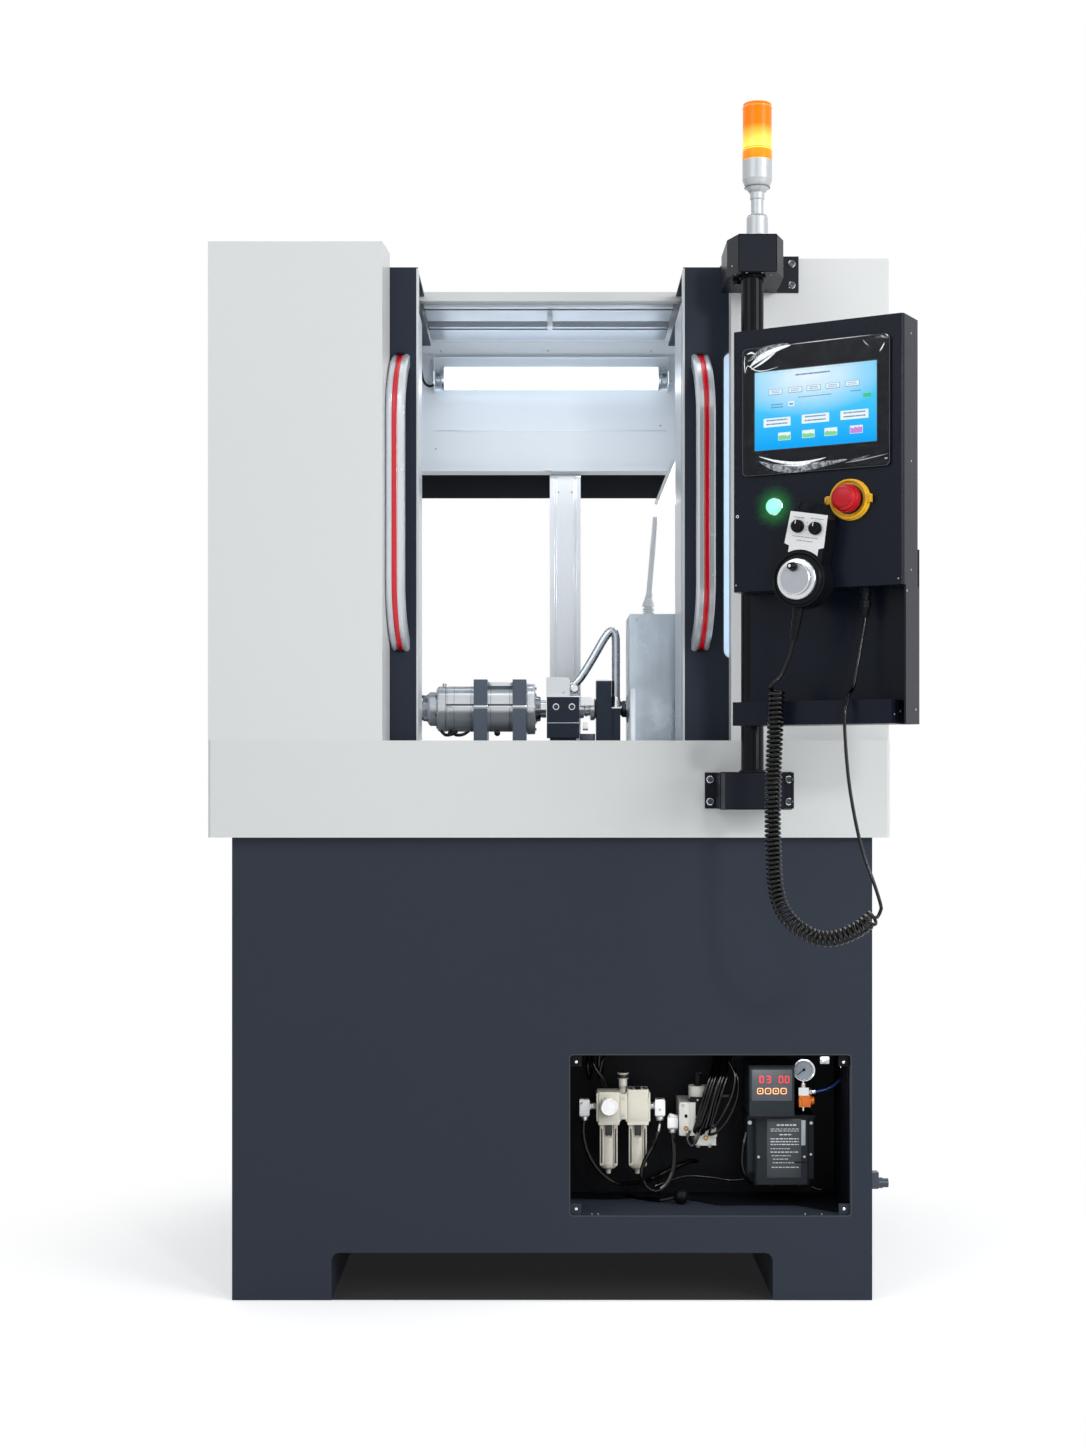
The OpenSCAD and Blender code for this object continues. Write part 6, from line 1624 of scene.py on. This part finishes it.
def make_lubricator():
    p = Piece()
    p.plate(rounded(394.5, 361, 71.4, 55.4, 2), 100.6, 101.6, 0.3)
    p.finish("display_plate", "display_grey", "black_plastic")
    p = Piece()
    for shape, x in (("0", 376.4), ("3", 388.6), ("0", 410.6), ("0", 421.4)):
        add_digit(p, shape, x, 371.5, 7.4, 12.3, 100.1)
    p.finish("display_digits", "digits_red", "red", smooth=0)
    p = Piece()
    for k in range(4):
        x = 394.5 + (k - 1.5) * 13.8
        p.rim(rounded(x, 351, 11, 11, 2.8, 4), rounded(x, 351, 7.8, 7.8, 1.7, 4), (100.2, 99.6, 99.6, 100.2))
        if k in (0, 2):
            p.plate(ring(x, 351, 1.5, 16), 99.6, 100.1)
        else:
            p.box((x - 2.0, 99.6, 350.6), (x + 2.0, 100.1, 351.4))
    p.finish("display_keys", "line_orange", "lens_amber", smooth=0)
    p = Piece()
    p.plate(rounded(418, 246.5, 61.4, 105.4, 2.6), 117.6, 119, 0.3)
    p.finish("tank_label", "label_grey", "black_plastic")
    p = Piece()
    rng = random.Random(33)
    for z, w, x0, high in ((288, 36, 405, 3.0), (281, 50, 394, 1.2), (277.5, 50, 394, 1.2), (271, 22, 410, 2.0),
                           (263.5, 50, 394, 1.6),
                           (258.5, 50, 394, 1.6), (253.5, 50, 394, 1.6), (246, 34, 394, 1.2), (240, 50, 394, 1.6),
                           (233.5, 34, 396, 1.2),
                           (227.5, 28, 398, 1.2), (221, 40, 398, 1.2), (213, 48, 396, 1.4)):
        x = x0
        while x < x0 + w:
            run = rng.uniform(2.2, 8.0)
            p.box((x, 117.4, z - high / 2), (min(x + run, x0 + w), 117.7, z + high / 2))
            x += run + 1.6
    p.finish("label_dashes", "print_white", "knob_white", smooth=0)
    p = Piece()
    p.plate(rounded(447.5, 274, 17.6, 44.6, 1.2), 118.6, 121, 0.4)
    p.finish("sight_glass", "sight_pale", "window_clear")
    p = Piece()
    p.box((352.6, 116.6, 300.5), (473.4, 240, 305.4), 1.4)
    p.box((365, 116.8, 181), (369, 119.5, 300), 0.8)
    p.box((459, 117, 182), (462.6, 119.5, 300), 0.8)
    p.plate(rounded(447.5, 222, 25, 2.4, 0.6), 117.2, 118.4)
    p.box((353, 99.4, 302.6), (436, 101.4, 306.4), 0.6)
    p.box((353.6, 98.8, 393), (435.4, 130, 396.4), 0.9)
    p.lathe([(5, 0), (5, 6), (3.4, 8), (0, 8)], (398, 135, 182), DOWN, 20)
    p.lathe([(5, 0), (5, 6), (3.4, 8), (0, 8)], (448, 135, 182), DOWN, 20)
    p.finish("tank_edges", "black_plastic", "black_plastic")
    places = [((358, 127.8, 291), FORWARD, 0.75), ((467.5, 129.8, 290), FORWARD, 0.6),
              ((467, 129.8, 234), FORWARD, 0.45),
              ((372.6, 117.8, 231.5), FORWARD, 0.5), ((454, 117.8, 232), FORWARD, 0.45)]
    screws("tank_screws", places)


def make_gauge():
    x, y, z = 454.0, 120.0, 385.0
    p = Piece()
    p.lathe([(16.9, -0.2), (19.6, -0.6), (20.2, 0.6), (20.2, 3.2), (19.4, 4.6), (18.2, 4.8), (17.2, 4.2),
             (16.9, 3.0)],
            (x, y + 4, z), FORWARD, 56)
    p.finish("gauge_bezel", "chrome", "gauge_metal")
    p = Piece()
    p.plate(ring(x, z, 16.9, 48), y + 5.6, y + 6.4)
    p.finish("gauge_face", "dial_face", "knob_white")
    dial = FRONT @ shift(x, y + 5.5, z) @ spin(90, "X") @ spin(-45, "Z") @ Matrix.Scale(1 / MM, 4)
    ring_of_marks("gauge_marks", "seal_black", "black_plastic", "machine", dial, Count=41, Radius=0.0152,
                  Length=0.0017,
                  Width=0.00035, Height=0.0003, Long_Every=5, Sweep=math.radians(270))
    p = Piece()
    p.nut((x, 136, 354), UP, 10.5, 6)
    p.nut((x + 9.2, 136, 345), RIGHT, 12, 6.5)
    p.lathe([(3, 0), (4.8, 0), (4.8, 3), (5.6, 4), (5.6, 6), (3.6, 7), (3, 7)], (x + 15.5, 136, 345), RIGHT, 20)
    p.lathe([(0, 0), (3.6, 0), (3.6, 3), (2.6, 5), (0, 5)], (x, 135, 316), DOWN, 18)
    p.finish("gauge_nuts", "plain_steel", "steel")
    p = Piece()
    p.nut((x, 136, 338.6), UP, 19, 14.8)
    p.finish("gauge_hex", "bronze", "gauge_metal")
    p = Piece()
    p.box((445, 122.6, 318.6), (466, 147, 339.4), 1.6)
    p.lathe([(0, 0), (6.4, 0), (7.0, 1.4), (7.0, 6), (6.0, 7.4), (0, 7.4)], (466, 135, 329), RIGHT, 24,
            scallop=(12, 0.8, 6.5))
    p.lathe([(0, 0), (6.4, 0), (6.0, 2.0), (0, 2.2)], (455.5, 122.6, 329), FORWARD, 24)
    p.finish("orange_block", "orange", "lens_amber")


def make_bay_trim():
    p = Piece()
    p.rim(rounded(279.5, 285.5, 489.4, 281.4, 7), rounded(279.5, 285.5, 485.8, 277.8, 5.4), (27, 24.5, 24.5, 27))
    p.finish("bay_edge", "label_grey", "cabinet_paint")
    places = [((x, 31, z), FORWARD, s) for x, z,
              s in ((47.4, 412, 0.72), (510.8, 411.5, 0.72), (47.4, 157, 0.72), (512, 157, 0.72))]
    places += [((x, 40, z), UP, 0.45) for x, z in ((74.8, 146.2), (85.5, 146.2), (445.5, 146.2), (474.6, 146.2))]
    places += [((510.6, 60, 399), LEFT, 0.5)]
    screws("bay_screws", places, DOME, "chrome")
    p = Piece()
    p.plate(rounded(478.5, 415, 16, 13, 1.5), 31, 33.2, 0.5)
    p.lathe([(0, 0), (3.4, 0), (3.4, 2), (2.6, 3), (0, 3.1)], (478.1, 31, 412.5), FORWARD, 6)
    p.finish("bay_tab", "plain_steel", "steel")
    # Dark pads over the tabs at the bay's top corners: painted shade.
    p = Piece()
    for x in (46, 513):
        p.plate(rounded(x, 415, 19.4, 19.4, 3.5), 30.7, 30.95, 0.1)
    p.finish("bay_corner_pads", "lining_black", "black_plastic")


make_bay_shade_sheets()
make_filters()
make_manifold()
make_cable_bundle()
make_blue_hose()
make_lubricator()
make_gauge()
make_bay_trim()


# ------------------------------------------------------------------ beacon, pole and brackets
def make_beacon_details():
    """Lens cap, foot band and ribs, the stand's seams and its foot gasket."""
    x, y, foot = 352, -60, 1811
    lens, top = 1947, 2044
    p = Piece()
    p.lathe([(24.4, 0), (25.1, 0.4), (25.1, 15.6), (24.8, 16.4), (24.4, 16.8)], (x, y, lens + 0.6), UP, 64)
    p.lathe([(24.5, 0), (24.9, 0.3), (24.9, 1.0), (24.5, 1.3)], (x, y, lens + 19), UP, 64)
    p.finish("beacon_band", "cap_amber", "lens_amber")
    p = Piece()
    p.lathe([(24.4, -1.2), (25.0, -0.9), (25.0, 0.6), (24.4, 1.0)], (x, y, top - 7), UP, 64)
    p.lathe([(20.5, -0.2), (23.6, -0.6), (23.9, 0.6), (22.0, 1.6), (12, 2.2), (0, 2.3), (0, -0.2)],
            (x, y, top - 1.6), UP, 64)
    p.finish("beacon_cap", "lens_cap", "lens_amber")
    p = Piece()
    for z, r in ((1902.4, 21.6), (1941.5, 24.7), (1889.6, 8.2), (1881, 8.6), (1854, 16.2), (1849, 16.9)):
        p.lathe([(r - 1.5, -0.25), (r + 0.12, -0.25), (r + 0.12, 0.25), (r - 1.5, 0.25)], (x, y, z), UP, 48)
    p.finish("beacon_seams", "label_grey", "beacon_silver")
    p = Piece()
    p.lathe([(16, 0), (29.5, 0), (29.5, 1.0), (28, 1.8), (16, 1.8)], (x, y, foot), UP, 48)
    p.finish("beacon_gasket", "seal_black", "black_plastic")


def make_bracket_details():
    p = Piece()
    y = -112
    for z0, z1, x0, x1, mid in ((1748, 1811, 300, 395, 16), (852, 914, 277, 412, 8)):
        a, b = x0 + mid, x1 - mid
        for z in (z0, z1):
            s = 1 if z == z1 else -1
            p.tube([(a, y + 0.4, z - s * 0.4), (b, y + 0.4, z - s * 0.4)], 0.9, 8)
        for x in (a, b):
            p.tube([(x, y + 0.6, z0 + 1), (x, y + 0.6, z1 - 1)], 1.0, 8)
    p.finish("bracket_folds", "pole_black", "frame_paint")
    p = Piece()
    for x, y, z in ((422, 37, 1761), (422, 37, 1798), (277, -3, 864), (412, -3, 864), (277, -3, 902),
                    (412, -3, 902)):
        p.lathe([(3.9, 0), (6.1, 0), (6.3, 0.5), (5.6, 1.1), (3.9, 1.1)], (x, y, z), FORWARD, 28)
    p.finish("bracket_washers", "chrome", "steel")
    places = [((307, -91, 1762), (-0.93, -0.36, 0), 0.42), ((330, -104, 1748.2), DOWN, 0.5),
              ((312, -92, 1748.2), DOWN, 0.42), ((356, -104, 1748.2), DOWN, 0.5),
              ((372, -90, 1748.2), DOWN, 0.42)]
    screws("bracket_small_screws", places, DOME)
    p = Piece()
    p.lathe([(6.2, 0), (7.2, 1), (7.2, 8), (6, 9.4), (0, 9.4)], (318, -58, 1748), DOWN, 20, scallop=(8, 1.0, 6.5))
    p.lathe([(19.15, 0), (22.6, 0), (22.6, 3.2), (21.8, 4.2), (19.15, 4.2)], (342, -77, 1743.8), UP, 40)
    p.lathe([(19.15, 0), (22.6, 0), (21.8, 3.2), (19.15, 4.4)], (342, -77, 914), UP, 40)
    p.finish("pole_collars", "black_plastic", "black_plastic")


make_beacon_details()
make_bracket_details()


# ------------------------------------------------------------------ floor and light
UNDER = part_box("base_cabinet")
EDGE = 200.0                      # how sharply the floor changes at the machine's outline, per metre


def seen_directly(tree):
    """1 for what the camera sees straight, through glass or in a reflection."""
    path = node(tree, "LightPath").outputs
    ray = Num(path["Is Camera Ray"])
    ray = ray.do("MAXIMUM", ray, path["Is Transmission Ray"])
    return ray.do("MAXIMUM", ray, path["Is Glossy Ray"])


def outside_painted_shadow(tree):
    """1 on the open floor, 0 under the machine, where no white is added and the floor is painted dark as a painted
    shadow.
    """
    where = [Num(s) for s in node(tree, "SeparateXYZ", place(tree)).outputs]
    inside = 1.0
    for along, low, high in zip(where[:2], *UNDER):
        for edge, slope in ((low, EDGE), (high, -EDGE)):
            inside = along.do("MULTIPLY_ADD", along, slope, -edge * slope).clamp() * inside
    return 1.0 - inside


def white_light(tree, kind, strength=1.0, colour=WHITE):
    return node(tree, kind, Color=colour, Strength=strength).outputs[0]


def make_floor():
    """Pale floor that keeps the shadow near the object and runs out into the white further off; under the machine
    its colour is painted dark, a painted shadow.
    """
    m = bpy.data.materials.new("pale_floor")
    m.use_nodes = True
    t = m.node_tree
    t.nodes.clear()
    direct, clear = seen_directly(t), outside_painted_shadow(t)
    # Under the machine the white glow drops away and the colour turns dark: a painted shadow.
    glow = white_light(t, "Emission", direct * (clear * 0.405 + 0.015))
    diffuse = node(t, "BsdfDiffuse", Color=clear * 0.885 + 0.035)
    near = node(t, "AddShader", diffuse.outputs[0], glow)
    fade = node(t, "MapRange", interpolation_type="SMOOTHSTEP", Value=length_of(t, place(t)), From_Min=0.62,
                From_Max=1.25)
    far = Num(fade.outputs["Result"]) * direct * clear
    mix = node(t, "MixShader", far, near.outputs[0], white_light(t, "Emission"))
    node(t, "OutputMaterial", mix.outputs[0])
    bm = bmesh.new()
    bmesh.ops.create_grid(bm, x_segments=1, y_segments=1, size=14.0)
    bmesh.ops.translate(bm, verts=bm.verts, vec=(0, 6.0, -0.0005))
    mesh = bpy.data.meshes.new("floor")
    bm.to_mesh(mesh)
    bm.free()
    mesh.materials.append(m)
    new_object("floor", mesh)


def make_world():
    SCENE.world = bpy.data.worlds.new("studio")
    SCENE.world.use_nodes = True
    t = SCENE.world.node_tree
    t.nodes.clear()
    light = white_light(t, "Background", 0.42, (0.93, 0.96, 1.0, 1))
    mix = node(t, "MixShader", seen_directly(t), light, white_light(t, "Background"))
    node(t, "OutputWorld", mix.outputs[0])


COOL, NEUTRAL = (0.94, 0.97, 1.0), (1, 1, 1)


def make_lights():
    # name, place, what it points at, size, power, colour
    for name, where, aim, size, power, colour in (
        ("key", (-2.6, -3.6, 3.6), (0, 0, 0.9), (2.4, 2.4), 33, NEUTRAL),
        ("fill", (3.2, -3.0, 2.2), (0, 0, 1.0), (2.0, 2.6), 80, NEUTRAL),
        ("top", (0, 0.4, 4.2), (0, 0, 0), (3.0, 2.4), 38, NEUTRAL),
        ("inner_tube", (0, 0.335, 1.70), (-0.02, 0.06, 1.0), (0.46, 0.05), 0.12, COOL),
        ("inner_flood", (0.255, 0.17, 1.43), (-0.1, 0.1, 1.04), (0.06, 0.06), 0.5, NEUTRAL),
        ("header_wash", (0, 0.13, 1.60), (0, 0.36, 1.69), (0.5, 0.06), 0.42, COOL),
        ("bay_front", (0.28, -0.287, 0.419), (0.28, -0.281, 0.15), (0.42, 0.03), 0.36, NEUTRAL),
        ("spark", (1.2, -3.9, 2.1), (0.2, 0, 0.9), (0.3, 0.3), 20, NEUTRAL),
    ):
        data = bpy.data.lights.new(name, "AREA")
        data.shape = "RECTANGLE"
        data.size, data.size_y = size
        data.energy, data.color = power, colour
        lamp = new_object(name, data)
        lamp.location = where
        lamp.rotation_euler = (Vector(aim) - Vector(where)).to_track_quat("-Z", "Y").to_euler()


make_floor()
make_world()
make_lights()


for pattern in (SCREW, DOME):
    bpy.data.objects.remove(pattern)
